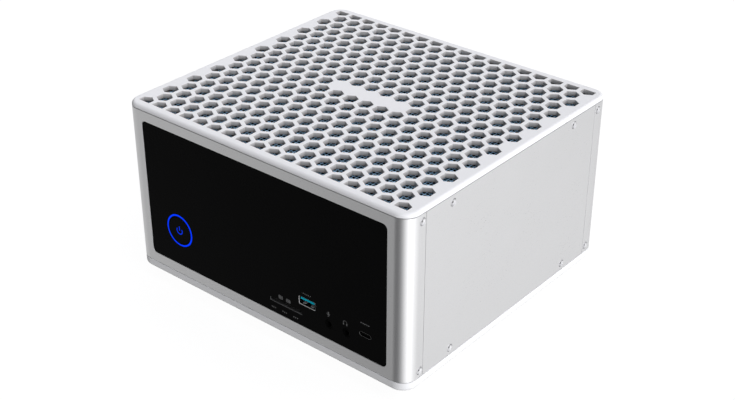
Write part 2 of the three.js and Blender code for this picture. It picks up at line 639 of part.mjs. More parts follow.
function fanRotor() {
  const { x, y, low, duct } = FAN;
  const reach = duct - 2;
  const hubZ = [low + 5.5, low + 23];
  const blades = [];
  for (let i = 0; i < 7; i += 1) {
    const blade = new THREE.BoxGeometry(reach - 14, 24, 1.6).rotateX(THREE.MathUtils.degToRad(32));
    blade.translate(14 + (reach - 14) / 2, 0, low + 14.5);
    blades.push(toSolid(blade.rotateZ((i * 2 * Math.PI) / 7).translate(x, y, 0)));
  }
  const swept = join(...blades).intersect(rod("z", hubZ, [x, y], reach, 36));
  return cut(join(rod("z", hubZ, [x, y], 20.5, 24), swept), rod("z", [low, low + 16], [x, y], 2.4, 12));
}
place("fan_rotor", fanRotor(), BLACK_PLASTIC);

// Each hose starts and ends a clearance away from the fitting it seals on, running straight out of it.
function fitting([x, y, z], [dx, dy, dz]) {
  return [GAP, 3, 6].map((out) => [x + dx * out, y + dy * out, z + dz * out]);
}
const [LEFTWARD, FORWARD, UPWARD] = [
  [-1, 0, 0],
  [0, -1, 0],
  [0, 0, 1],
];
const radiatorRear = fitting([RADIATOR_PORT_X, RADIATOR_PORT_Y, RADIATOR_PORT_Z], LEFTWARD);
const radiatorFront = fitting([RADIATOR_PORT_X, -RADIATOR_PORT_Y, RADIATOR_PORT_Z], LEFTWARD);
const pumpInlet = fitting([PUMP.x - 12, PUMP.y, PUMP_TOP], UPWARD);
const pumpOutlet = fitting([PUMP_OUTLET_X, PUMP.y - 38, PUMP_OUTLET_Z], FORWARD);
const [plateIn, plateOut] = PLATE_PORT.x.map((x) => fitting([x, PLATE_PORT.y, PLATE_PORT.z], FORWARD));

const downToPump = [
  [-92, 34, 102],
  [-93, 24, 88],
  [-81, 11, 76],
];
const radiatorToPump = [...radiatorRear, ...downToPump, ...pumpInlet.reverse()];
const acrossFront = [
  [-40, -55, 47],
  [-10, -66, 47],
  [18, -67, 44],
];
const pumpToPlate = [...pumpOutlet, ...acrossFront, ...plateIn.reverse()];
const upLeftSide = [
  [52, -70, 50],
  [20, -75, 64],
  [-35, -76, 84],
  [-75, -71, 100],
  [-93, -56, 108],
];
const plateToRadiator = [...plateOut, ...upLeftSide, ...radiatorFront.reverse()];
place("hose_radiator_to_pump", hoseSolid(radiatorToPump), HOSE_RUBBER);
place("hose_pump_to_plate", hoseSolid(pumpToPlate), HOSE_RUBBER);
place("hose_plate_to_radiator", hoseSolid(plateToRadiator), HOSE_RUBBER);

export default model;
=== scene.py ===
"""A liquid-cooled mini PC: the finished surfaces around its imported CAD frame, in one studio scene.

Lengths in this script are millimetres in the part's own frame (+Z up, front towards -Y) until
Shape.build turns them into metres.
"""

import json
from math import acos, atan2, copysign, cos, dist, hypot, pi, radians, sin, sqrt

import bpy
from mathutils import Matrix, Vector
from mathutils.geometry import delaunay_2d_cdt


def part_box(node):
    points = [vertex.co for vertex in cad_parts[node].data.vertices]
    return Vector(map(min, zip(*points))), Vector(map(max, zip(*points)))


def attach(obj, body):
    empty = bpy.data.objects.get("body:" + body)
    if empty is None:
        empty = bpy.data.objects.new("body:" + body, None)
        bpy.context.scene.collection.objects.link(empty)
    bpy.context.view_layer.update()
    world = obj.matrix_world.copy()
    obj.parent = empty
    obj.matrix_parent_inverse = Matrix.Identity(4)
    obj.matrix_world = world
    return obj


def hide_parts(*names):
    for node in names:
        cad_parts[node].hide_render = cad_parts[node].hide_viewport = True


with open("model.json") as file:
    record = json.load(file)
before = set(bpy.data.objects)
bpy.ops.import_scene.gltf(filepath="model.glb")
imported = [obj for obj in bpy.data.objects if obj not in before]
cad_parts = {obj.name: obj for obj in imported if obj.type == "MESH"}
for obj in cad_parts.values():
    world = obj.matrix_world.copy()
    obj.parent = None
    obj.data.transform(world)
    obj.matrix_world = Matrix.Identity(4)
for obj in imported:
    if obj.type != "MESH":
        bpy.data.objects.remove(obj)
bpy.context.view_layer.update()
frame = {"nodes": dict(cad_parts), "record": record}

MM = 0.001
QUARTER = pi / 2

# ---------------------------------------------------------------- driving dimensions
WIDTH = 225.0
DEPTH = 203.0
HEIGHT = 128.0
CORNER = 10.0  # upright corner radius of the case
CORNER_STEPS = 12
RIM = 2.5  # rounded edge of both white covers
SHELL = 2.5  # thickness of the aluminium panels
SHELL_LOW = 16.1
SHELL_HIGH = 125.1
SEAM_Y = 85.7
SEAM_GAP = 0.3
OPENING = (196.0, 95.0)
OPENING_Z = 70.6
OPENING_CORNER = 3.0
GRILLE = 3.0  # thickness of the top cover
HOLE_PITCH = 12.0
HOLE_FLATS = 9.15  # across the flats
HOLE_CORNER = 0.3
HOLE_ROWS = 19
LONG_ROW = 18  # holes in every other row, with one fewer between
HOLE_LIMIT_Y = 95.2  # the outer rows are cut short here
BLANK_HALF_WIDTH = 30.0  # the middle row has no holes this near the centre
PANEL_FACE = -101.45  # y of the front panel
INLAY = 0.03  # how far printed marks stand above the panel


# ---------------------------------------------------------------- mesh building
class Shape:
    """Faces in millimetres, each corner with its own normal, welded where their points meet."""

    def __init__(self):
        self.points = {}
        self.faces = []
        self.normals = []
        self.paint = 0
        self.paints = []

    def face(self, corners, normals=None):
        keys = [tuple(round(c, 4) for c in p) for p in corners]
        kept = [i for i in range(len(keys)) if keys[i] != keys[i - 1]]
        if len(kept) < 3:
            return
        if normals is None:
            a, b, c = (Vector(corners[i]) for i in kept[:3])
            flat = (b - a).cross(c - b).normalized()
            normals = [flat] * len(corners)
        self.faces.append([self.points.setdefault(keys[i], len(self.points)) for i in kept])
        self.normals.extend(tuple(normals[i]) for i in kept)
        self.paints.append(self.paint)

    def build(self, name, materials, slot, replaces=(), body="case"):
        mesh = bpy.data.meshes.new(name)
        places = [tuple(c * MM for c in p) for p in self.points]
        mesh.from_pydata(places, [], self.faces)
        mesh.polygons.foreach_set("use_smooth", [True] * len(mesh.polygons))
        mesh.normals_split_custom_set(self.normals)
        for material in materials if isinstance(materials, list) else [materials]:
            mesh.materials.append(material)
        mesh.polygons.foreach_set("material_index", self.paints)
        piece = bpy.data.objects.new(name, mesh)
        bpy.context.scene.collection.objects.link(piece)
        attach(piece, body)
        if replaces:
            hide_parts(*replaces)


class Plane:
    """A flat surface: U to the right and V up as seen from outside, depth going in."""

    def __init__(self, origin, across, up):
        self.origin = Vector(origin)
        self.across = Vector(across)
        self.up = Vector(up)
        self.out = self.across.cross(self.up)

    def at(self, u, v, depth):
        return self.origin + self.across * u + self.up * v - self.out * depth

    def aim(self, u, v, direction):
        a, b, c = direction
        return self.across * a + self.up * b + self.out * c


def facing_front(y, x=0, z=0):
    return Plane((x, y, z), (1, 0, 0), (0, 0, 1))


def facing_rear(y, x=0, z=0):
    return Plane((x, y, z), (-1, 0, 0), (0, 0, 1))


def facing_side(side, y=0, z=0):
    """The plane of the right side, at 1, or the left side, at -1."""
    return Plane((side * WIDTH / 2, y, z), (0, side, 0), (0, 0, 1))


def facing_down(z, x=0, y=0):
    return Plane((x, y, z), (1, 0, 0), (0, -1, 0))


class Wrap:
    """The outside of an end frame: across the end, round both upright corners, along the sides."""

    def __init__(self, end):
        self.end = end
        self.flat = WIDTH / 2 - CORNER
        self.arc = CORNER * QUARTER
        self.half = self.flat + self.arc + DEPTH / 2 - CORNER - SEAM_Y - SEAM_GAP / 2

    def folds(self):
        steps = range(CORNER_STEPS)
        right = [self.flat + self.arc * k / CORNER_STEPS for k in steps]
        return [-u for u in reversed(right)] + right

    def angle(self, u):
        return min(max(abs(u) - self.flat, 0), self.arc) / CORNER

    def at(self, u, v, depth):
        turn = self.angle(u)
        radius = CORNER - depth
        x = copysign(min(abs(u), self.flat) + radius * sin(turn), u)
        beyond = max(abs(u) - self.flat - self.arc, 0)
        y = CORNER - DEPTH / 2 - radius * cos(turn) + beyond
        return Vector((-self.end * x, -self.end * y, v))

    def aim(self, u, v, direction):
        a, b, c = direction
        turn = self.angle(u)
        side = copysign(1, u)
        x = a * cos(turn) + c * side * sin(turn)
        y = a * side * sin(turn) - c * cos(turn)
        return Vector((-self.end * x, -self.end * y, b))


def edge_normals(loop):
    """For each point, the outward normals of the loop just before and just after it."""
    outs = []
    for i, (x, y) in enumerate(loop):
        nx, ny = loop[(i + 1) % len(loop)]
        length = hypot(nx - x, ny - y)
        outs.append(((ny - y) / length, (x - nx) / length))
    return [(outs[i - 1], outs[i]) for i in range(len(loop))]


def grow(loop, amount):
    if amount == 0:
        return list(loop)
    grown = []
    for (x, y), (before, after) in zip(loop, edge_normals(loop)):
        bx = before[0] + after[0]
        by = before[1] + after[1]
        scale = 2 * amount / (bx * bx + by * by)
        grown.append((x + bx * scale, y + by * scale))
    return grown


def smoothed(loop):
    """The loop's normals, shared across every gentle corner and led by its longer edge."""
    pairs = edge_normals(loop)
    lengths = [dist(point, loop[(i + 1) % len(loop)]) for i, point in enumerate(loop)]
    shared = []
    for i, (before, after) in enumerate(pairs):
        if before[0] * after[0] + before[1] * after[1] > 0.8:
            bx = before[0] * lengths[i - 1] + after[0] * lengths[i]
            by = before[1] * lengths[i - 1] + after[1] * lengths[i]
            length = hypot(bx, by)
            before = after = (bx / length, by / length)
        shared.append((before, after))
    return shared


def band(shape, surface, loop, sign, rings):
    """Walls along a loop. Each ring is (growth, depth, turn), turn 0 facing out of the surface."""
    pairs = smoothed(loop)
    count = len(loop)
    placed = []
    for growth, depth, turn in rings:
        points = grow(loop, growth)
        spots = [surface.at(u, v, depth) for u, v in points]
        side = sign * sin(turn)
        facing = []
        for (u, v), (before, after) in zip(points, pairs):
            aims = [(n[0] * side, n[1] * side, cos(turn)) for n in (before, after)]
            facing.append([surface.aim(u, v, aim) for aim in aims])
        placed.append((spots, facing))
    for (near, near_n), (far, far_n) in zip(placed, placed[1:]):
        for i in range(count):
            j = (i + 1) % count
            corners = [near[i], far[i], far[j], near[j]]
            normals = [near_n[i][1], far_n[i][1], far_n[j][0], near_n[j][0]]
            if sign < 0:
                corners.reverse()
                normals.reverse()
            shape.face(corners, normals)


def cover(shape, surface, outline, holes, depth=0.0, folds=(), back=False):
    """The flat face inside an outline and outside its holes."""
    points = [Vector(p) for p in outline]
    faces = [list(range(len(points)))]
    for hole in holes:
        faces.append(list(range(len(points), len(points) + len(hole))))
        points.extend(Vector(p) for p in hole)
    low = min(v for _, v in outline)
    high = max(v for _, v in outline)
    edges = []
    for u in folds:
        edges.append((len(points), len(points) + 1))
        points.extend((Vector((u, low)), Vector((u, high))))
    verts, _, found, _, _, origins = delaunay_2d_cdt(points, edges, faces, 1, 1e-6)
    side = -1 if back else 1
    for triangle, origin in zip(found, origins):
        if any(origin_face != 0 for origin_face in origin):
            continue
        order = reversed(triangle) if back else triangle
        spots = [verts[i] for i in order]
        corners = [surface.at(p.x, p.y, depth) for p in spots]
        shape.face(corners, [surface.aim(p.x, p.y, (0, 0, side)) for p in spots])


def bevelled(bevel, steps, sign):
    turns = [QUARTER * k / steps for k in range(steps + 1)]
    return [(-sign * bevel * (1 - sin(t)), bevel * (1 - cos(t)), t) for t in turns]


def perforate(
    shape, surface, front, rear, holes, thickness, bevel=0.25, steps=2, folds=(), wall_paint=0
):
    """Both faces of a sheet and the walls of its holes, but not the sheet's own edge."""
    shape.paint = wall_paint
    for hole in holes:
        rings = bevelled(bevel, steps, -1) + [(0, thickness, QUARTER)]
        band(shape, surface, hole, -1, rings)
    shape.paint = 0
    cover(shape, surface, front, [grow(hole, bevel) for hole in holes], 0, folds)
    cover(shape, surface, rear, holes, thickness, folds, back=True)


def plate(shape, surface, outline, holes, thickness, bevel=0.25, steps=2, folds=()):
    rings = bevelled(bevel, steps, 1) + [(0, thickness, QUARTER)]
    band(shape, surface, outline, 1, rings)
    perforate(shape, surface, grow(outline, -bevel), outline, holes, thickness, bevel, steps, folds)
    return shape


QUADRANTS = ((1, 1), (-1, 1), (-1, -1), (1, -1))


def rectangle(width, height, radius=0.0, x=0.0, y=0.0, steps=4):
    loop = []
    for quarter, (sx, sy) in enumerate(QUADRANTS):
        cx = x + sx * (width / 2 - radius)
        cy = y + sy * (height / 2 - radius)
        for k in range(steps + 1 if radius else 1):
            a = (quarter + (k / steps if radius else 0.5)) * QUARTER
            loop.append((cx + radius * cos(a), cy + radius * sin(a)))
    return loop


def circle(radius, x=0.0, y=0.0, sides=32):
    turns = [2 * pi * k / sides for k in range(sides)]
    return [(x + radius * cos(a), y + radius * sin(a)) for a in turns]


def softened(loop, radius, steps=2):
    """The same polygon with its corners rounded."""
    done = []
    for (x, y), (before, after) in zip(loop, edge_normals(loop)):
        half = acos(max(-1, min(1, before[0] * after[0] + before[1] * after[1]))) / 2
        bx = before[0] + after[0]
        by = before[1] + after[1]
        length = hypot(bx, by)
        reach = radius / cos(half)
        cx = x - reach * bx / length
        cy = y - reach * by / length
        start = atan2(before[1], before[0])
        for k in range(steps + 1):
            a = start + 2 * half * k / steps
            done.append((cx + radius * cos(a), cy + radius * sin(a)))
    return done


def ring(inset, radius=None):
    """The case's plan drawn in by an inset: x, y and the outward normal of each point."""
    radius = CORNER - inset if radius is None else radius
    points = []
    for quarter, (sx, sy) in enumerate(QUADRANTS):
        cx = sx * (WIDTH / 2 - inset - radius)
        cy = sy * (DEPTH / 2 - inset - radius)
        for k in range(CORNER_STEPS + 1):
            a = (quarter + k / CORNER_STEPS) * QUARTER
            nx, ny = cos(a), sin(a)
            points.append((cx + radius * nx, cy + radius * ny, nx, ny))
    return points


def loft(shape, start, end):
    """A band between two rings, each given as (ring, z, tilt of the normal above level)."""
    (low, z0, tilt0), (high, z1, tilt1) = start, end
    count = len(low)

    def corner(points, i, z, tilt):
        x, y, nx, ny = points[i]
        return (x, y, z), (nx * cos(tilt), ny * cos(tilt), sin(tilt))

    for i in range(count):
        j = (i + 1) % count
        made = [corner(low, i, z0, tilt0), corner(high, i, z1, tilt1)]
        made += [corner(high, j, z1, tilt1), corner(low, j, z0, tilt0)]
        shape.face([p for p, _ in made], [n for _, n in made])


def flat_loop(points):
    return [(x, y) for x, y, _, _ in points]


def turned(shape, plane, profile, sides):
    """A solid of revolution about the plane's normal, from a profile of (radius, depth)."""
    slopes = []
    for (r0, d0), (r1, d1) in zip(profile, profile[1:]):
        length = hypot(r1 - r0, d1 - d0)
        slopes.append(((d1 - d0) / length, (r1 - r0) / length))
    starts = list(slopes)
    ends = list(slopes)
    for k in range(1, len(slopes)):
        (a, b), (c, d) = slopes[k - 1], slopes[k]
        if a * c + b * d > 0.7:
            length = hypot(a + c, b + d)
            ends[k - 1] = starts[k] = ((a + c) / length, (b + d) / length)
    for i in range(sides):
        angles = (2 * pi * i / sides, 2 * pi * (i + 1) / sides)
        for k, ((r0, d0), (r1, d1)) in enumerate(zip(profile, profile[1:])):
            corners = []
            normals = []
            for r, d, a, slope in (
                (r0, d0, angles[0], starts[k]),
                (r1, d1, angles[0], ends[k]),
                (r1, d1, angles[1], ends[k]),
                (r0, d0, angles[1], starts[k]),
            ):
                u, v = r * cos(a), r * sin(a)
                corners.append(plane.at(u, v, d))
                out = (slope[0] * cos(a), slope[0] * sin(a), slope[1])
                normals.append(plane.aim(u, v, out))
            shape.face(corners, normals)


def front_block(shape, low, high, bevel=0.1):
    """A box whose front face has the softened edges."""
    centre = ((low[0] + high[0]) / 2, (low[2] + high[2]) / 2)
    outline = rectangle(high[0] - low[0], high[2] - low[2], 0, *centre)
    plate(shape, facing_front(low[1]), outline, [], high[1] - low[1], bevel, 1)


def box_of(node):
    """A CAD node's lowest and highest corners, in millimetres."""
    low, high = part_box(node)
    return low / MM, high / MM


# ---------------------------------------------------------------- materials
class Graph:
    """A small helper that adds and links nodes of one node tree."""

    def __init__(self, tree):
        self.tree = tree
        self.tree.nodes.clear()

    def node(self, kind, inputs=None, **settings):
        made = self.tree.nodes.new("ShaderNode" + kind)
        for name, value in settings.items():
            setattr(made, name, value)
        for name, value in (inputs or {}).items():
            socket = made.inputs[name]
            if isinstance(value, bpy.types.NodeSocket):
                self.tree.links.new(value, socket)
            else:
                socket.default_value = value
        return made

    def math(self, operation, a, b=0.0, clamp=False):
        node = self.node("Math", {0: a, 1: b}, operation=operation, use_clamp=clamp)
        return node.outputs[0]

    def place(self):
        return self.node("TexCoord").outputs["Object"]

    def noise(self, scale, detail=3.0, roughness=0.55, vector=None):
        inputs = {"Scale": scale, "Detail": detail, "Roughness": roughness}
        inputs["Vector"] = vector or self.place()
        return self.node("TexNoise", inputs).outputs["Fac"]

    def ramp(self, factor, stops):
        made = self.node("ValToRGB", {"Fac": factor})
        while len(made.color_ramp.elements) < len(stops):
            made.color_ramp.elements.new(0.5)
        for element, (position, colour) in zip(made.color_ramp.elements, stops):
            element.position = position
            element.color = (*colour, 1.0)
        return made.outputs["Color"]

    def spread(self, factor, low, high):
        inputs = {"Value": factor, "From Min": 0.25, "From Max": 0.75, "To Min": low, "To Max": high}
        return self.node("MapRange", inputs).outputs["Result"]

    def shade(self, inputs):
        shader = self.node("BsdfPrincipled", inputs)
        self.node("OutputMaterial", {"Surface": shader.outputs["BSDF"]})


MATERIALS = {}  # by name, and every CAD slot is the name of one


def new_material(name):
    material = bpy.data.materials.new(name)
    material.use_nodes = True
    MATERIALS[name] = material
    return material, Graph(material.node_tree)


BLOTCH = 25.0  # scale of the broad variation in every finish
BUMP_DISTANCE = 0.0001


def tone(value):
    """A colour from three numbers, or a grey from one."""
    return value if isinstance(value, tuple) else (value, value, value)


def surface(name, dark, light, rough, metal=0.0, spec=0.5, grain=1500.0, bump=0.05, fine=0.35):
    """A finish with fine grain and broad variation in colour and roughness, and a grainy bump."""
    material, graph = new_material(name)
    broad = graph.noise(BLOTCH, 4.0)
    small = graph.noise(grain, 2.0)
    parts = [graph.math("MULTIPLY", small, fine), graph.math("MULTIPLY", broad, 1 - fine)]
    mixed = graph.math("ADD", *parts)
    colour = graph.ramp(mixed, [(0.3, tone(dark)), (0.7, tone(light))])
    bumps = {"Height": small, "Strength": bump, "Distance": BUMP_DISTANCE}
    height = graph.node("Bump", bumps)
    inputs = {
        "Base Color": colour,
        "Roughness": graph.spread(mixed, *rough),
        "Metallic": metal,
        "Specular IOR Level": spec,
        "Normal": height.outputs["Normal"],
    }
    graph.shade(inputs)
    return material


def glowing(name, colour, strength):
    """A lit plastic, a little uneven as light guides are."""
    material, graph = new_material(name)
    uneven = graph.noise(350.0, 2.0)
    dim = tuple(0.9 * c for c in colour)
    light = graph.ramp(uneven, [(0.3, dim), (0.7, colour)])
    inputs = {
        "Base Color": (*(0.05 * c for c in colour), 1.0),
        "Roughness": graph.spread(uneven, 0.35, 0.5),
        "Specular IOR Level": 0.015,
        "Emission Color": light,
        "Emission Strength": strength,
    }
    graph.shade(inputs)
    return material


# Colours of the grille holes' walls, from their foot up to their mouth, with painted shade that
# darkens them towards the foot.
WALL_SHADE_COLOURS = [
    (0.0, (0.12, 0.115, 0.112)),
    (0.14, (0.34, 0.327, 0.318)),
    (1.0, (0.66, 0.64, 0.625)),
]


def shaded_hole_wall():
    """The walls of the grille holes, in painted shade: paler at the mouth, darker with depth, as in
    the photo. The grey at the mouth is partly the walls' own tone and partly painted shade; the
    darkening with depth is painted shade.
    """
    material, graph = new_material("white_plastic_painted_shade")
    height = graph.node("SeparateXYZ", {"Vector": graph.place()}).outputs["Z"]
    bounds = {"From Min": (HEIGHT - GRILLE) * MM, "From Max": HEIGHT * MM}
    depth = graph.node("MapRange", {"Value": height, **bounds}).outputs["Result"]
    grain = graph.spread(graph.noise(1500.0), -0.05, 0.05)
    colour = graph.ramp(graph.math("ADD", depth, grain), WALL_SHADE_COLOURS)
    rough = graph.spread(grain, 0.5, 0.6)
    graph.shade({"Base Color": colour, "Roughness": rough, "Specular IOR Level": 0.2})
    return material


WHITE = surface(
    "white_plastic", (0.845, 0.845, 0.85), (0.87, 0.87, 0.875), (0.42, 0.52), spec=0.3, bump=0.03
)
# Painted shade for the grille's hole walls and for its skirt.
PAINTED_SHADE_GREY = shaded_hole_wall()
ALUMINIUM = surface(
    "anodised_aluminium",
    (0.765, 0.765, 0.77),
    (0.815, 0.815, 0.82),
    (0.27, 0.3),
    metal=0.8,
    grain=1800,
    bump=0.03,
    fine=0.7,
)
BLACK_GLOSS = surface("black_acrylic", 0.004, 0.0046, (0.25, 0.3), spec=0.012, bump=0.0, grain=800)
BLUE_LIGHT = glowing("blue_light", (0.0, 0.04, 1.0), 1.1)
BLUE_SYMBOL = glowing("blue_symbol", (0.0, 0.034, 0.86), 1.0)
MESH_STEEL = surface(
    "mesh_steel", (0.4, 0.69, 0.93), (0.49, 0.77, 1.0), (0.5, 0.6), spec=0.1, grain=900
)
CHASSIS_BLACK = surface("blackened_steel", 0.003, 0.006, (0.5, 0.6), spec=0.05, grain=1000)
SCREW_STEEL = surface(
    "screw_steel", (0.7, 0.7, 0.72), (0.85, 0.85, 0.86), (0.25, 0.35), metal=0.9, grain=2500
)
# A near-black sheet behind the rear slots, put there as painted shade for the case's inside.
SHADE_SHEET_FOAM = surface("shade_sheet_foam", 0.004, 0.012, (0.85, 0.95), spec=0.1, grain=1200, bump=0.3)
RUBBER = surface(
    "rubber", (0.03, 0.03, 0.032), (0.06, 0.06, 0.063), (0.75, 0.9), spec=0.2, bump=0.2
)
TEAL = surface("port_teal", (0.002, 0.4, 0.54), (0.004, 0.52, 0.68), (0.35, 0.45), spec=0.04)
PORT_STEEL = surface("port_steel", 0.6, (0.75, 0.75, 0.76), (0.25, 0.35), metal=0.9, grain=2000)
GOLD = surface(
    "contact_gold", (0.75, 0.52, 0.22), (0.9, 0.68, 0.34), (0.25, 0.35), metal=1.0, grain=2000
)
SOCKET_BLACK = surface("socket_black", 0.003, 0.005, (0.4, 0.5), spec=0.08)
LINED_STEEL = surface("lined_steel", 0.4, (0.48, 0.48, 0.485), (0.3, 0.4), metal=0.5, grain=2000)
DULL_STEEL = surface("dull_steel", 0.13, 0.18, (0.35, 0.45), metal=0.6, grain=2000)
SLOT_LIP = surface("slot_lip", 0.07, 0.09, (0.5, 0.6), spec=0.1, grain=2000)
JACK_BLACK = surface("jack_black", 0.0015, 0.0025, (0.4, 0.5), spec=0.02)
SLOT_GREY = surface("slot_grey", 0.034, 0.048, (0.5, 0.6), spec=0.1, grain=2000)
BLACK_PLASTIC = surface("black_plastic", 0.008, 0.015, (0.5, 0.65), spec=0.3)
PRINT = surface("panel_print", 0.13, 0.17, (0.5, 0.6), spec=0.1, grain=2500)
SHEET_STEEL = surface(
    "sheet_steel", (0.4, 0.41, 0.42), (0.5, 0.51, 0.52), (0.4, 0.5), metal=0.8, grain=1000
)
AMBER = surface("lamp_amber", (0.75, 0.3, 0.03), (0.9, 0.42, 0.06), (0.2, 0.3))
GREEN = surface("lamp_green", (0.05, 0.42, 0.1), (0.1, 0.6, 0.16), (0.2, 0.3))
surface(
    "circuit_board",
    (0.006, 0.008, 0.009),
    (0.015, 0.02, 0.022),
    (0.4, 0.6),
    grain=600,
    bump=0.2,
    fine=0.6,
)
surface(
    "drive_metal", (0.5, 0.5, 0.51), (0.62, 0.62, 0.63), (0.35, 0.45), metal=0.9, grain=1200
)
surface("copper", (0.5, 0.2, 0.1), (0.72, 0.34, 0.18), (0.25, 0.4), metal=1.0, grain=1200)
surface("radiator_black", 0.002, 0.005, (0.5, 0.6), spec=0.05, grain=900)
surface(
    "hose_rubber",
    (0.006, 0.006, 0.007),
    (0.014, 0.014, 0.015),
    (0.55, 0.7),
    spec=0.3,
    grain=1200,
    bump=0.15,
)

for part in frame["record"]["subparts"]:
    node = frame["nodes"][part["node"]]
    node.data.materials.clear()
    node.data.materials.append(MATERIALS[part["material_slot"]])
frame["nodes"]["chassis"].data.materials[0] = CHASSIS_BLACK


# ---------------------------------------------------------------- camera, light and floor
CAMERA_PLACE = (0.4818, -0.5752, 0.4854)
CAMERA_ANGLES = (40.0, 29.96)  # azimuth and elevation, as in the photograph
LENS = 64.96


def compass(azimuth, elevation):
    """The direction towards an azimuth (0 is the front, 90 the right side) and an elevation."""
    a, e = radians(azimuth), radians(elevation)
    return (sin(a) * cos(e), -cos(a) * cos(e), sin(e))


def studio():
    scene = bpy.context.scene
    scene.view_settings.view_transform = "Standard"
    camera_data = bpy.data.cameras.new("camera")
    camera_data.lens = LENS
    camera_data.sensor_width = 36.0
    camera_data.clip_start = 0.01
    camera_data.clip_end = 100.0
    camera = bpy.data.objects.new("camera", camera_data)
    back = Vector(compass(*CAMERA_ANGLES))
    camera.location = CAMERA_PLACE
    camera.rotation_euler = back.to_track_quat("Z", "Y").to_euler()
    scene.collection.objects.link(camera)
    scene.camera = camera


# Soft lights all round, each given as azimuth, elevation, sharpness and strength.
HIGH_LIGHTS = [(120, 62, 8.0, 2.4), (-130, 20, 10.0, 1.8)]
HIGH_LIGHTS += [(60, 20, 10.0, 3.1), (120, 20, 10.0, 1.4)]
# The low ring shares one elevation and sharpness, and gives azimuth and strength.
LOW_RING = [(180, 0.73), (-105, 0.66), (-60, 0.6), (-35, 0.04), (45, 0.66)]
LOW_RING += [(75, 1.08), (90, 0.67), (120, 0.42), (135, 0.48)]
LOW_LIGHTS = [(azimuth, -28, 12.0, strength) for azimuth, strength in LOW_RING]
HIGH_TINT = (0.985, 0.99, 1.03)  # the light from above is slightly cool
WHITE_LIGHT = (1.0, 1.0, 1.0)


def sky():
    world = bpy.data.worlds.new("studio")
    bpy.context.scene.world = world
    world.use_nodes = True
    graph = Graph(world.node_tree)
    direction = graph.node("TexCoord").outputs["Generated"]

    def glow(lights):
        total = None
        for azimuth, elevation, sharpness, strength in lights:
            inputs = {0: direction, 1: compass(azimuth, elevation)}
            facing = graph.node("VectorMath", inputs, operation="DOT_PRODUCT").outputs["Value"]
            falloff = graph.math("MULTIPLY", graph.math("SUBTRACT", facing, 1.0), sharpness)
            lobe = graph.math("MULTIPLY", graph.math("EXPONENT", falloff), strength)
            total = lobe if total is None else graph.math("ADD", total, lobe)
        return total

    def background(tint, strength):
        return graph.node("Background", {"Color": (*tint, 1.0), "Strength": strength})

    high = background(HIGH_TINT, glow(HIGH_LIGHTS))
    low = background(WHITE_LIGHT, glow(LOW_LIGHTS))
    lit = graph.node("AddShader", {0: high.outputs[0], 1: low.outputs[0]})
    seen = background(WHITE_LIGHT, 1.0)
    camera_ray = graph.node("LightPath").outputs["Is Camera Ray"]
    inputs = {0: camera_ray, 1: lit.outputs[0], 2: seen.outputs[0]}
    shown = graph.node("MixShader", inputs)
    graph.node("OutputWorld", {"Surface": shown.outputs[0]})


def floor():
    """A pale floor that only the camera sees, so it takes no part in lighting the object."""
    mesh = bpy.data.meshes.new("floor")
    reach = 20.0
    corners = [(-reach, -reach, 0), (reach, -reach, 0), (reach, reach, 0), (-reach, reach, 0)]
    mesh.from_pydata(corners, [], [(0, 1, 2, 3)])
    material, graph = new_material("studio_floor")
    inputs = {
        "Base Color": (0.12, 0.12, 0.12, 1.0),
        "Roughness": 1.0,
        "Specular IOR Level": 0.0,
        "Emission Color": (*WHITE_LIGHT, 1.0),
        "Emission Strength": 0.93,
    }
    graph.shade(inputs)
    mesh.materials.append(material)
    plane = bpy.data.objects.new("floor", mesh)
    bpy.context.scene.collection.objects.link(plane)
    plane.visible_diffuse = False
    plane.visible_glossy = False
    plane.visible_shadow = False


studio()
sky()
floor()

UP = Plane((0, 0, HEIGHT), (1, 0, 0), (0, 1, 0))
FRONT = facing_front(PANEL_FACE)
RAISED = facing_front(PANEL_FACE - INLAY)


# ---------------------------------------------------------------- white covers
def hole(x, y):
    corner = HOLE_FLATS / sqrt(3)
    loop = []
    for k in range(6):
        a = radians(30 + 60 * k)
        v = y + corner * sin(a)
        apex = abs(cos(a)) < 0.1
        if not (apex and abs(v) > HOLE_LIMIT_Y):
            loop.append((x + corner * cos(a), max(-HOLE_LIMIT_Y, min(HOLE_LIMIT_Y, v))))
    return softened(loop, HOLE_CORNER)


def honeycomb():
    holes = []
    middle = (HOLE_ROWS - 1) // 2
    for row in range(HOLE_ROWS):
        count = LONG_ROW - row % 2
        y = (middle - row) * HOLE_PITCH * sin(pi / 3)
        for i in range(count):
            x = (i - (count - 1) / 2) * HOLE_PITCH
            if row != middle or abs(x) > BLANK_HALF_WIDTH:
                holes.append(hole(x, y))
    return holes


SKIRT_OUTSIDE = (3.6, 5.0)  # inset and corner radius of the skirt below the grille
SKIRT_INSIDE = (5.3, 2.0)
SKIRT_LOW = HEIGHT - 6
ROUND_STEPS = 6


def rounded_rim(shape, face_z, way):
    """The quarter round between the case's side and a cover's face, which looks up (1) or down."""
    rounds = []
    for k in range(ROUND_STEPS + 1):
        t = QUARTER * k / ROUND_STEPS
        z = face_z - way * RIM * (1 - cos(t))
        rounds.append((ring(RIM * (1 - sin(t))), z, way * (QUARTER - t)))
    for start, end in zip(rounds[::way], rounds[::way][1:]):
        loft(shape, start, end)


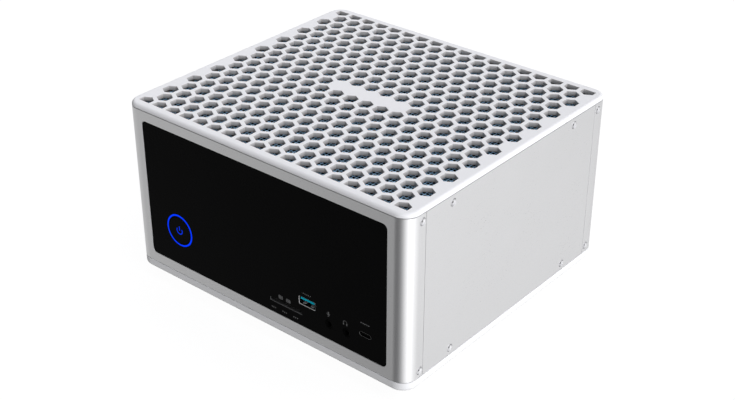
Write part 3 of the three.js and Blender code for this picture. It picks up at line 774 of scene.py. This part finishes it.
def top_grille():
    shape = Shape()
    rounded_rim(shape, HEIGHT, 1)
    edge, outside, inside = ring(0), ring(*SKIRT_OUTSIDE), ring(*SKIRT_INSIDE)
    lip_z, low = HEIGHT - RIM, SKIRT_LOW
    # The lip's underside and the skirt take the painted shade finish, which darkens the seam below
    # the grille.
    shape.paint = 1
    loft(shape, (edge, lip_z, -QUARTER), (outside, lip_z, -QUARTER))
    loft(shape, (outside, lip_z, 0), (outside, low, 0))
    loft(shape, (outside, low, -QUARTER), (inside, low, -QUARTER))
    loft(shape, (inside, low, pi), (inside, HEIGHT - GRILLE, pi))
    shape.paint = 0
    front, rear = flat_loop(ring(RIM)), flat_loop(inside)
    # The hole walls take the painted shade finish as well.
    perforate(shape, UP, front, rear, honeycomb(), GRILLE, bevel=0.12, wall_paint=1)
    shape.build("top_grille", [WHITE, PAINTED_SHADE_GREY], "white_plastic", ["top_cover"])


def dust_screen():
    """An etched screen: two layers of thin flat ribbons that cross, just under the CAD sheet."""
    low, _ = box_of("dust_mesh")
    reach_x, reach_y = 106.7, 95.7
    pitch = 2.4
    ribbon = 0.42
    thick = 0.08
    drop = 0.4
    middle = low.z - drop
    shape = Shape()

    def ribbons(across, up, reach, count, top):
        plane = Plane((0, 0, top), across, up)
        for i in range(-count, count + 1):
            outline = rectangle(2 * reach, ribbon, 0, 0, i * pitch)
            band(shape, plane, outline, 1, [(0, 0, QUARTER), (0, thick, QUARTER)])
            for depth, side in ((0, 1), (thick, -1)):
                corners = [plane.at(u, v, depth) for u, v in outline[::side]]
                shape.face(corners, [plane.out * side] * 4)

    ribbons((1, 0, 0), (0, 1, 0), reach_x, int(reach_y / pitch), middle + thick)
    ribbons((0, -1, 0), (1, 0, 0), reach_y, int(reach_x / pitch), middle)
    shape.build("dust_screen", MESH_STEEL, "mesh_steel", ["dust_mesh"])


TRAY_UNDERSIDE = 9.6
TRAY_RIM = 15.8
TRAY_FLOOR = 2.4  # thickness
TRAY_WALL = 2.5
TRAY_SLOT = (6, 76, 1.2)  # width, length and corner radius
TRAY_SLOT_PITCH = 13
FOOT_TOP = 8.2  # above the sole, which is at FOOT_SOLE
FOOT_SOLE = 2.0


def base_tray():
    shape = Shape()
    outer, inner = ring(0), ring(TRAY_WALL)
    loft(shape, (inner, TRAY_RIM, QUARTER), (outer, TRAY_RIM, QUARTER))
    loft(shape, (outer, TRAY_RIM, 0), (outer, TRAY_UNDERSIDE + RIM, 0))
    rounded_rim(shape, TRAY_UNDERSIDE, -1)
    loft(shape, (inner, TRAY_UNDERSIDE + TRAY_FLOOR, pi), (inner, TRAY_RIM, pi))
    slots = [rectangle(*TRAY_SLOT, TRAY_SLOT_PITCH * i, 0, 3) for i in range(-4, 5)]
    front = [(x, -y) for x, y in reversed(flat_loop(ring(RIM)))]
    rear = [(x, -y) for x, y in reversed(flat_loop(inner))]
    perforate(shape, facing_down(TRAY_UNDERSIDE), front, rear, slots, TRAY_FLOOR, bevel=0.3)
    shape.build("base_tray", WHITE, "white_plastic", ["bottom_cover"])


def feet():
    """Four moulded feet, each with a rubber pad in its recess."""
    under = TRAY_UNDERSIDE + 0.4 - FOOT_SOLE
    foot_profile = [(0, 0.9), (6, 0.9), (6, 0), (8.4, 0), (8.8, 0.12), (9, 0.5), (9.6, under)]
    foot_profile += [(9.6, FOOT_TOP), (0, FOOT_TOP)]
    pad_profile = [(0, 0), (4.9, 0), (5.3, 0.15), (5.5, 0.6), (5.5, 2.6), (0, 2.6)]
    for name in ("front_left", "front_right", "rear_left", "rear_right"):
        low, high = box_of("foot_pad_" + name)
        x, y = (low.x + high.x) / 2, (low.y + high.y) / 2
        foot = Shape()
        turned(foot, facing_down(FOOT_SOLE, x, y), foot_profile, 48)
        foot.build("foot_" + name, WHITE, "white_plastic")
        pad = Shape()
        turned(pad, facing_down(0, x, y), pad_profile, 40)
        pad.build("pad_" + name, RUBBER, "rubber", ["foot_pad_" + name])


# ---------------------------------------------------------------- aluminium shell
SCREW_HOLE = 2.45
SHELL_BEVEL = 0.12
OPENING_GAP = 0.25  # round the front and rear panels
STRIP_SCREWS = [(88.8, 120.3), (88.8, 20.8)]
PANEL_SCREWS = [(61.5, 120.3), (60.0, 20.8)]


def end_frame(name, end, node):
    wrap = Wrap(end)
    folds = wrap.folds()
    stations = [-wrap.half, *folds, wrap.half]
    outline = [(u, SHELL_LOW) for u in stations] + [(u, SHELL_HIGH) for u in reversed(stations)]
    size = [side + 2 * OPENING_GAP for side in OPENING]
    holes = [rectangle(*size, OPENING_CORNER + OPENING_GAP, 0, OPENING_Z, 6)]
    for y, z in STRIP_SCREWS:
        u = wrap.flat + wrap.arc + DEPTH / 2 - CORNER - y
        holes += [circle(SCREW_HOLE, side * u, z, 24) for side in (-1, 1)]
    shape = Shape()
    plate(shape, wrap, outline, holes, SHELL, SHELL_BEVEL, folds=folds)
    shape.build(name, ALUMINIUM, "anodised_aluminium", [node])


def side_shell(name, side, node):
    reach = SEAM_Y - SEAM_GAP / 2
    middle = (SHELL_LOW + SHELL_HIGH) / 2
    outline = rectangle(2 * reach, SHELL_HIGH - SHELL_LOW, 0, 0, middle)
    holes = [circle(SCREW_HOLE, end * y, z, 24) for y, z in PANEL_SCREWS for end in (-1, 1)]
    shape = Shape()
    plate(shape, facing_side(side), outline, holes, SHELL, SHELL_BEVEL)
    shape.build(name, ALUMINIUM, "anodised_aluminium", [node])


def screws():
    """Dished heads with a hex socket, all alike."""
    dish = 0.5
    bottom = dish + 1.1
    profile = [(0.9, dish), (1.05, 0.48), (2.0, 0.14), (2.18, 0.08), (2.26, 0.16), (2.26, 1.4)]
    profile += [(1.3, 1.4), (1.3, 6.9), (0, 6.9)]
    socket = circle(0.75, 0, 0, 6)
    rim = circle(0.9, 0, 0, 24)
    for side, side_name in ((-1, "left"), (1, "right")):
        for end, end_name in ((-1, "front"), (1, "rear")):
            for i, (y, z) in enumerate(PANEL_SCREWS + STRIP_SCREWS):
                where = f"screw_{side_name}_{end_name}_{i + 1}"
                plane = facing_side(side, end * y, z)
                shape = Shape()
                turned(shape, plane, profile, 24)
                cover(shape, plane, rim, [socket], dish)
                # The socket's walls and floor take the darker lined steel: painted shade in the
                # recess.
                shape.paint = 1
                band(shape, plane, socket, -1, [(0, dish, QUARTER), (0, bottom, QUARTER)])
                cover(shape, plane, socket, [], bottom)
                finishes = [SCREW_STEEL, LINED_STEEL]
                shape.build(where, finishes, "screw_steel", ["side_" + where])


# ---------------------------------------------------------------- front panel
def face_of(node):
    """The middle x and z of a CAD node, then half its width and half its height."""
    low, high = box_of(node)
    return (low.x + high.x) / 2, (low.z + high.z) / 2, (high.x - low.x) / 2, (high.z - low.z) / 2


BUTTON_X, BUTTON_Z = face_of("power_button")[:2]
RING = (10.2, 11.25)  # inner and outer radius of the light
COLLAR = 9.4  # inner radius of the black ring between the cap and the light
USB_A = face_of("usb_a_port")
USB_C = face_of("usb_c_port")
MIC = face_of("mic_jack")
HEADPHONE = face_of("headphone_jack")
CARD = (20.3, 31.9, 13.1, 1.4)  # as face_of gives it
# Each guide's offset from the slot's middle, its width and its height.
CARD_GUIDES = [(-7.75, 9.5, 0.35), (-1.5, 3.0, 0.7), (4.25, 8.5, 0.35), (10, 3.0, 0.6)]
CARD_GUIDES += [(12, 1.0, 0.35)]
CARD_ICONS = ((16.1, 36.1), (22.3, 36.0))
CARD_CAPTIONS_X = (10.0, 19.0, 28.0)
CARD_CAPTION_Z = 26.5
PANEL_THICK = 4.2
FLANGE_FACE = -98.6


def button_circle(radius):
    return circle(radius, BUTTON_X, BUTTON_Z, 64)


def front_panel():
    outline = rectangle(*OPENING, OPENING_CORNER, 0, OPENING_Z, 6)
    usb_a = rectangle(2 * USB_A[2] + 0.2, 2 * USB_A[3] + 0.2, 0.4, USB_A[0], USB_A[1])
    usb_c = rectangle(2 * USB_C[2] - 0.1, 2 * USB_C[3] - 0.2, USB_C[3] - 0.15, USB_C[0], USB_C[1], 6)
    card = rectangle(2 * CARD[2], 2 * CARD[3], 0.5, CARD[0], CARD[1])
    jacks = [circle(3.0, x, z, 32) for x, z, _, _ in (MIC, HEADPHONE)]
    light = button_circle(RING[1] + 0.1)
    shape = Shape()
    plate(shape, FRONT, outline, [usb_a, usb_c, card, light, *jacks], PANEL_THICK, bevel=0.15)
    shape.build("front_acrylic", BLACK_GLOSS, "black_acrylic", ["front_panel"])
    flange = Shape()
    window = rectangle(OPENING[0] - 4, OPENING[1] - 4, 0, 0, OPENING_Z)
    rim = rectangle(OPENING[0] + 6, OPENING[1] + 6, OPENING_CORNER, 0, OPENING_Z)
    plate(flange, facing_front(FLANGE_FACE), rim, [window], 1.2, bevel=0.0, steps=1)
    flange.build("front_flange", BLACK_PLASTIC, "black_acrylic")


def printed(shape, loop, holes=()):
    """A mark laid in the panel, proud of it by INLAY."""
    plate(shape, RAISED, loop, list(holes), 2 * INLAY, bevel=0.0, steps=1)


def arc_band(x, z, outer, inner, start, end, steps=12):
    loop = []
    for radius, order in ((outer, range(steps + 1)), (inner, range(steps, -1, -1))):
        for k in order:
            a = radians(start + (end - start) * k / steps)
            loop.append((x + radius * cos(a), z + radius * sin(a)))
    return loop


def power_button():
    shape = Shape()
    plate(shape, FRONT, button_circle(RING[1]), [button_circle(RING[0])], 4.0, bevel=0.12)
    shape.build("power_ring", BLUE_LIGHT, "blue_light", ["power_ring_light"])
    collar = Shape()
    outline = button_circle(RING[0] - 0.02)
    plate(collar, FRONT, outline, [button_circle(COLLAR)], 4.0, bevel=0.06)
    collar.build("button_collar", BLACK_GLOSS, "black_acrylic")
    cap = Shape()
    profile = [(0, 0), (8.9, 0), (9.0, 0), (9.18, 0.06), (9.25, 0.2), (9.25, 5.8), (11.0, 5.8)]
    profile += [(11.0, 7.0), (2.5, 7.0), (2.5, 13.2), (0, 13.2)]
    turned(cap, facing_front(PANEL_FACE, BUTTON_X, BUTTON_Z), profile, 64)
    cap.build("button_cap", BLACK_GLOSS, "black_acrylic", ["power_button"], "power_button")
    symbol = Shape()
    gap = 58  # degrees, half the opening at the top
    printed(symbol, arc_band(BUTTON_X, BUTTON_Z, 2.75, 2.1, 90 + gap, 450 - gap, 24))
    printed(symbol, rectangle(0.65, 3.2, 0.3, BUTTON_X, BUTTON_Z + 1.6, 3))
    symbol.build("power_symbol", BLUE_SYMBOL, "blue_light", body="power_button")


def funnel(shape, plane, outline, lip, flare, depth, paint=0):
    """A thin socket shell whose mouth slopes in from the lip to the hollow."""
    hollow = grow(outline, -lip - flare)
    band(shape, plane, outline, 1, [(0, 0, QUARTER), (0, depth, QUARTER)])
    cover(shape, plane, outline, [grow(outline, -lip)])
    cover(shape, plane, outline, [hollow], depth, back=True)
    band(shape, plane, hollow, -1, [(flare, 0, QUARTER / 2), (0, flare, QUARTER / 2)])
    shape.paint = paint
    band(shape, plane, hollow, -1, [(0, flare, QUARTER), (0, depth, QUARTER)])
    shape.paint = 0


def usb_a():
    x, z, half_x, half_z = USB_A
    mouth = PANEL_FACE + 0.05
    shape = Shape()
    outline = rectangle(2 * half_x - 0.3, 2 * half_z, 0.6, x + 0.1, z)
    # The shell's inner walls take socket black: painted shade inside the steel shell.
    funnel(shape, facing_front(mouth), outline, 0.03, 0.2, 13.0, paint=1)
    shape.build("usb_a_shell", [LINED_STEEL, SOCKET_BLACK], "port_steel", ["usb_a_port"])
    tongue = Shape()
    front_block(tongue, (x - 5.35, mouth + 0.5, z + 0.74), (x + 5.4, mouth + 12, z + 2.12))
    tongue.build("usb_a_tongue", TEAL, "port_teal")
    back = Shape()
    front_block(back, (x - 6.1, mouth + 6, z - 2.3), (x + 6.1, mouth + 7.5, z + 2.3))
    back.build("usb_a_back", SOCKET_BLACK, "black_plastic")
    contacts = Shape()
    for i in range(4):
        cx = x - 3.5 + i * 7 / 3
        front_block(contacts, (cx - 0.5, mouth + 0.9, z + 0.5), (cx + 0.5, mouth + 6, z + 0.73), 0.03)
    contacts.build("usb_a_contacts", GOLD, "port_steel")
    lip = Shape()
    front_block(lip, (x - 6.2, mouth - 0.02, z - 2.85), (x + 6.2, mouth + 0.25, z - 2.33), 0.08)
    lip.build("usb_a_lip", PORT_STEEL, "port_steel")
    springs = Shape()
    for side in (-1, 1):
        cx = x + side * 3.2
        front_block(springs, (cx - 1.1, mouth + 0.9, z - 2.33), (cx + 1.1, mouth + 6, z - 1.75), 0.25)
    springs.build("usb_a_springs", LINED_STEEL, "port_steel")


def usb_c():
    x, z, half_x, half_z = USB_C
    mouth = PANEL_FACE + 0.1
    shape = Shape()
    outline = rectangle(2 * half_x - 0.3, 2 * half_z - 0.4, half_z - 0.25, x, z, 6)
    # The shell's inner walls take socket black: painted shade inside the steel shell.
    funnel(shape, facing_front(mouth), outline, 0.12, 0.08, 11.0, paint=1)
    shape.build("usb_c_shell", [DULL_STEEL, SOCKET_BLACK], "port_steel", ["usb_c_port"])
    tongue = Shape()
    front_block(tongue, (x - 3.3, mouth + 0.8, z - 0.35), (x + 3.3, mouth + 8, z + 0.35))
    front_block(tongue, (x - 4.1, mouth + 7, z - 1.3), (x + 4.1, mouth + 9, z + 1.3))
    tongue.build("usb_c_tongue", SOCKET_BLACK, "black_plastic")


def jacks():
    profile = [(0, 12), (1.75, 12), (1.75, 0.35), (2.1, 0.05), (2.75, 0), (2.9, 0.15)]
    profile += [(2.9, 14), (0, 14)]
    for name, (x, z, _, _) in (("mic_jack", MIC), ("headphone_jack", HEADPHONE)):
        shape = Shape()
        turned(shape, facing_front(PANEL_FACE + 0.1, x, z), profile, 40)
        shape.build(name + "_barrel", JACK_BLACK, "black_plastic", [name])


def card_slot():
    x, z, half_x, half_z = CARD
    lining = Shape()
    outline = rectangle(2 * half_x - 0.1, 2 * half_z - 0.1, 0.45, x, z)
    funnel(lining, facing_front(PANEL_FACE + 0.1), outline, 0.02, 0.3, 4.0, paint=1)
    lining.build("card_slot_lining", [SLOT_LIP, SOCKET_BLACK], "black_plastic")
    guides = Shape()
    for offset, width, height in CARD_GUIDES:
        low = (x + offset - width / 2, PANEL_FACE + 0.4, z - half_z + 0.2)
        high = (x + offset + width / 2, PANEL_FACE + 4, z - half_z + 0.25 + height)
        front_block(guides, low, high, 0.06)
    guides.build("card_slot_guides", SLOT_GREY, "black_plastic")


def panel_marks():
    """Printed icons beside the sockets, and plain dashes where each socket has its caption."""
    marks = Shape()
    x, z = MIC[0] - 0.2, MIC[1] + 6.9
    printed(marks, rectangle(1.1, 2.2, 0.54, x, z + 0.7, 4))
    printed(marks, arc_band(x, z + 0.6, 1.25, 1.0, 180, 360))
    printed(marks, rectangle(0.26, 0.75, 0, x, z - 1.0))
    printed(marks, rectangle(1.4, 0.24, 0, x, z - 1.5))
    x, z = HEADPHONE[0] - 0.9, HEADPHONE[1] + 6.6
    printed(marks, arc_band(x, z, 1.6, 1.3, 0, 180))
    for side in (-1, 1):
        printed(marks, rectangle(0.75, 1.5, 0.2, x + side * 1.25, z - 0.8, 3))
    for cx, cz in CARD_ICONS:
        window = rectangle(2.5, 1.6, 0.1, cx, cz, 3)
        printed(marks, rectangle(3.3, 2.4, 0.3, cx, cz, 3), [window])
        for i in range(3):
            printed(marks, rectangle(0.5, 1.2, 0, cx - 0.8 + 0.8 * i, cz))
    captions = [(USB_A[0], USB_A[1] + 5.9, 7.0), (USB_C[0] - 0.1, USB_C[1] + 7.8, 7.0)]
    captions += [(cx, CARD_CAPTION_Z, 4.3) for cx in CARD_CAPTIONS_X]
    for cx, cz, length in captions:
        dashes = 5 if length > 5 else 3
        step = length / dashes
        for i in range(dashes):
            x = cx + (i - (dashes - 1) / 2) * step
            printed(marks, rectangle(0.54 * step, 0.75, 0.15, x, cz, 2))
    marks.build("panel_marks", PRINT, "black_acrylic")


# ---------------------------------------------------------------- rear
REAR_FACE = 98.7
LAN_X = (-51.6, -35.2)
LAN_Z = 32.8
USB_REAR_X = (-14.0, 1.0)
USB_REAR_Z = (30.2, 37.8)
VIDEO_PLACES = ((26.0, 30.2), (26.0, 38.0), (48.0, 30.2), (48.0, 38.0), (70.0, 34.0))
DC_X = (-86.0, -72.0)
DC_Z = 32
MOUTH_Y = 99.0
POCKET_FLOOR = 15.0
SLOTS_Z = 81
ANTENNA = (88, 106)  # x to either side, and z
JACK_FACE = 101.3
NUT_FACE = 100.9


def rear_block(shape, x, y, z, width, length, height, bevel=0.08):
    """A box centred on x and z whose rear face, at y, has the softened edges."""
    plate(shape, facing_rear(y), rectangle(width, height, 0, -x, z), [], length, bevel, 1)


def rear_sheet():
    holes = [rectangle(4, 46, 1.9, 9 * i, SLOTS_Z, 4) for i in range(-8, 9)]
    holes += [circle(3.5, side * ANTENNA[0], ANTENNA[1], 32) for side in (-1, 1)]
    for node in ("dc_jacks", "lan_sockets", "usb_sockets", "video_sockets"):
        x, z, half_x, half_z = face_of(node)
        holes.append(rectangle(2 * half_x + 0.5, 2 * half_z + 0.5, 0.4, -x, z))
    shape = Shape()
    outline = rectangle(OPENING[0] + 6, OPENING[1] + 6, OPENING_CORNER + 3, 0, OPENING_Z, 6)
    plate(shape, facing_rear(REAR_FACE), outline, holes, 1.5, bevel=0.2)
    shape.build("rear_sheet", SHEET_STEEL, "sheet_steel", ["rear_plate"])


def rear_shade_sheet():
    """A black foam sheet close behind the air slots: a dark sheet that stands for the shade inside
    the case where the slots show through.
    """
    shape = Shape()
    outline = rectangle(158, 52, 2, 0, SLOTS_Z, 4)
    plate(shape, facing_rear(REAR_FACE - 1.9), outline, [], 0.8, bevel=0.1)
    shape.build("rear_shade_sheet", SHADE_SHEET_FOAM, "black_plastic")


def socket_body(name, node, pockets, housing=PORT_STEEL, slot="port_steel"):
    """A row of sockets in one housing, each pocket with a chamfered mouth and a dark lining."""
    low, high = box_of(node)
    plane = facing_rear(MOUTH_Y)
    x, z, half_x, half_z = face_of(node)
    outline = rectangle(2 * half_x, 2 * half_z, 0.3, -x, z)
    depth = high.y - low.y
    shape = Shape()
    band(shape, plane, outline, 1, bevelled(0.15, 1, 1) + [(0, depth, QUARTER)])
    cover(shape, plane, grow(outline, -0.15), [grow(pocket, 0.3) for pocket in pockets])
    cover(shape, plane, outline, [], depth, back=True)
    for pocket in pockets:
        band(shape, plane, pocket, -1, [(0.3, 0, QUARTER / 2), (0, 0.3, QUARTER / 2)])
        shape.paint = 1
        band(shape, plane, pocket, -1, [(0, 0.3, QUARTER), (0, POCKET_FLOOR, QUARTER)])
        cover(shape, plane, pocket, [], POCKET_FLOOR)
        shape.paint = 0
    shape.build(name, [housing, SOCKET_BLACK], slot, [node])


def network_sockets():
    pockets = [rectangle(11.8, 9.0, 0.3, -x, LAN_Z) for x in LAN_X]
    contacts, latches = Shape(), Shape()
    lamps = {"amber": Shape(), "green": Shape()}
    for x in LAN_X:
        for i in range(8):
            cx = x + (i - 3.5) * 1.02
            rear_block(contacts, cx, MOUTH_Y - 3.0, LAN_Z + 3.2, 0.45, 9.0, 0.4, 0.05)
            rear_block(contacts, cx, MOUTH_Y - 11.6, LAN_Z + 1.6, 0.45, 0.4, 2.8, 0.05)
        for side in (-1, 1):
            rear_block(latches, x + side * 4.45, MOUTH_Y - 0.5, LAN_Z - 3.65, 2.8, 13.0, 1.7, 0.1)
            lamp = lamps["amber" if side < 0 else "green"]
            window = rectangle(2.6, 1.3, 0.25, -x - side * 4.2, LAN_Z + 5.65)
            plate(lamp, facing_rear(MOUTH_Y + 0.12), window, [], 2.0, 0.1, 2)
    socket_body("lan_housing", "lan_sockets", pockets)
    contacts.build("lan_contacts", GOLD, "port_steel")
    latches.build("lan_latch_steps", BLACK_PLASTIC, "black_plastic")
    lamps["amber"].build("lan_lamps_amber", AMBER, "port_steel")
    lamps["green"].build("lan_lamps_green", GREEN, "port_steel")


def usb_stack():
    places = [(x, z) for x in USB_REAR_X for z in USB_REAR_Z]
    pockets = [rectangle(12.4, 5.0, 0.3, -x, z) for x, z in places]
    tongues, contacts, springs = Shape(), Shape(), Shape()
    for x, z in places:
        rear_block(tongues, x, MOUTH_Y - 0.9, z + 1.2, 11.0, 14.0, 1.7, 0.15)
        for i in range(4):
            cx = x + (i - 1.5) * 2.3
            rear_block(contacts, cx, MOUTH_Y - 1.6, z + 0.24, 1.0, 8.0, 0.2, 0.03)
        for side in (-1, 1):
            rear_block(springs, x + side * 3.1, MOUTH_Y - 1.0, z - 2.2, 2.0, 6.0, 0.5, 0.2)
    socket_body("usb_housing", "usb_sockets", pockets)
    tongues.build("usb_rear_tongues", TEAL, "port_teal")
    contacts.build("usb_rear_contacts", GOLD, "port_steel")
    springs.build("usb_rear_springs", PORT_STEEL, "port_steel")


def video_outline(x, z, upper):
    """The upper sockets have one cut corner and the lower ones two."""
    half_w, half_h, cut = 7.5, 2.5, 1.6
    left = [(-half_w, -half_h)] if upper else [(-half_w, -half_h + cut), (-half_w + cut, -half_h)]
    right = [(half_w - cut, -half_h), (half_w, -half_h + cut)]
    loop = [*left, *right, (half_w, half_h), (-half_w, half_h)]
    return [(u - x, v + z) for u, v in loop]


def video_ports():
    pockets = [video_outline(x, z, z > 35) for x, z in VIDEO_PLACES]
    tongues, contacts = Shape(), Shape()
    for x, z in VIDEO_PLACES:
        rear_block(tongues, x, MOUTH_Y - 1.2, z + 0.3, 12.0, 13.5, 1.1, 0.12)
        for i in range(9):
            cx = x + (i - 4) * 1.2
            rear_block(contacts, cx, MOUTH_Y - 1.8, z - 0.34, 0.5, 7.0, 0.16, 0.02)
    socket_body("video_housing", "video_sockets", pockets)
    tongues.build("video_tongues", BLACK_PLASTIC, "black_plastic")
    contacts.build("video_contacts", GOLD, "port_steel")


def power_inlets():
    pockets = [circle(3.2, -x, DC_Z, 40) for x in DC_X]
    socket_body("dc_housing", "dc_jacks", pockets, BLACK_PLASTIC, "black_plastic")
    pins, sleeves = Shape(), Shape()
    for x in DC_X:
        profile = [(0, 0), (0.5, 0.1), (0.85, 0.4), (1.0, 0.9), (1.0, 13.6)]
        turned(pins, facing_rear(MOUTH_Y - 1.2, x, DC_Z), profile, 24)
        profile = [(2.75, 0.12), (2.85, 0), (3.1, 0), (3.19, 0.1), (3.19, 11), (2.75, 11)]
        turned(sleeves, facing_rear(MOUTH_Y - 0.4, x, DC_Z), [*profile, profile[0]], 40)
    pins.build("dc_pins", PORT_STEEL, "port_steel")
    sleeves.build("dc_sleeves", LINED_STEEL, "port_steel")


def antenna_jacks():
    """Threaded gold barrels, each with a hexagonal nut and a centre contact in white insulation."""
    pitch = 0.36
    thread = [(2.2, 1.9), (2.2, 0.1), (2.3, 0), (2.7, 0)]
    for k in range(11):
        thread += [(2.8, 0.1 + k * pitch), (3.1, 0.1 + (k + 0.5) * pitch)]
    thread += [(2.8, 4.1), (3.1, 4.2), (3.1, 13.3), (0, 13.3)]
    insulator = [(0.55, 1.0), (0.65, 0.9), (2.0, 0.9), (2.19, 1.0), (2.19, 3.0), (0.55, 3.0)]
    insulator += [insulator[0]]
    tube = [(0.28, 2.5), (0.28, 0.5), (0.54, 0.5), (0.54, 3.2), (0, 3.2)]
    flats = softened(circle(4.55, 0, 0, 6), 0.4, 3)
    for name, side in (("left", -1), ("right", 1)):
        x, z = side * ANTENNA[0], ANTENNA[1]
        face = facing_rear(JACK_FACE, x, z)
        barrel = Shape()
        turned(barrel, face, thread, 36)
        node = "antenna_jack_" + name
        barrel.build("antenna_barrel_" + name, GOLD, "port_steel", [node])
        core = Shape()
        turned(core, face, insulator, 32)
        core.build("antenna_insulator_" + name, WHITE, "white_plastic")
        contact = Shape()
        turned(contact, face, tube, 20)
        cover(contact, face, circle(0.28, 0, 0, 20), [], 2.5)
        contact.build("antenna_contact_" + name, GOLD, "port_steel")
        nut = Shape()
        plate(nut, facing_rear(NUT_FACE, x, z), flats, [circle(3.12, 0, 0, 36)], 1.9, 0.25, 3)
        nut.build("antenna_nut_" + name, GOLD, "port_steel")


# ---------------------------------------------------------------- making
top_grille()
dust_screen()
base_tray()
feet()
end_frame("front_shell", -1, "front_bezel")
end_frame("rear_shell", 1, "rear_frame")
side_shell("side_shell_right", 1, "side_panel_right")
side_shell("side_shell_left", -1, "side_panel_left")
screws()
front_panel()
power_button()
usb_a()
usb_c()
jacks()
card_slot()
panel_marks()
rear_sheet()
rear_shade_sheet()
network_sockets()
usb_stack()
video_ports()
power_inlets()
antenna_jacks()
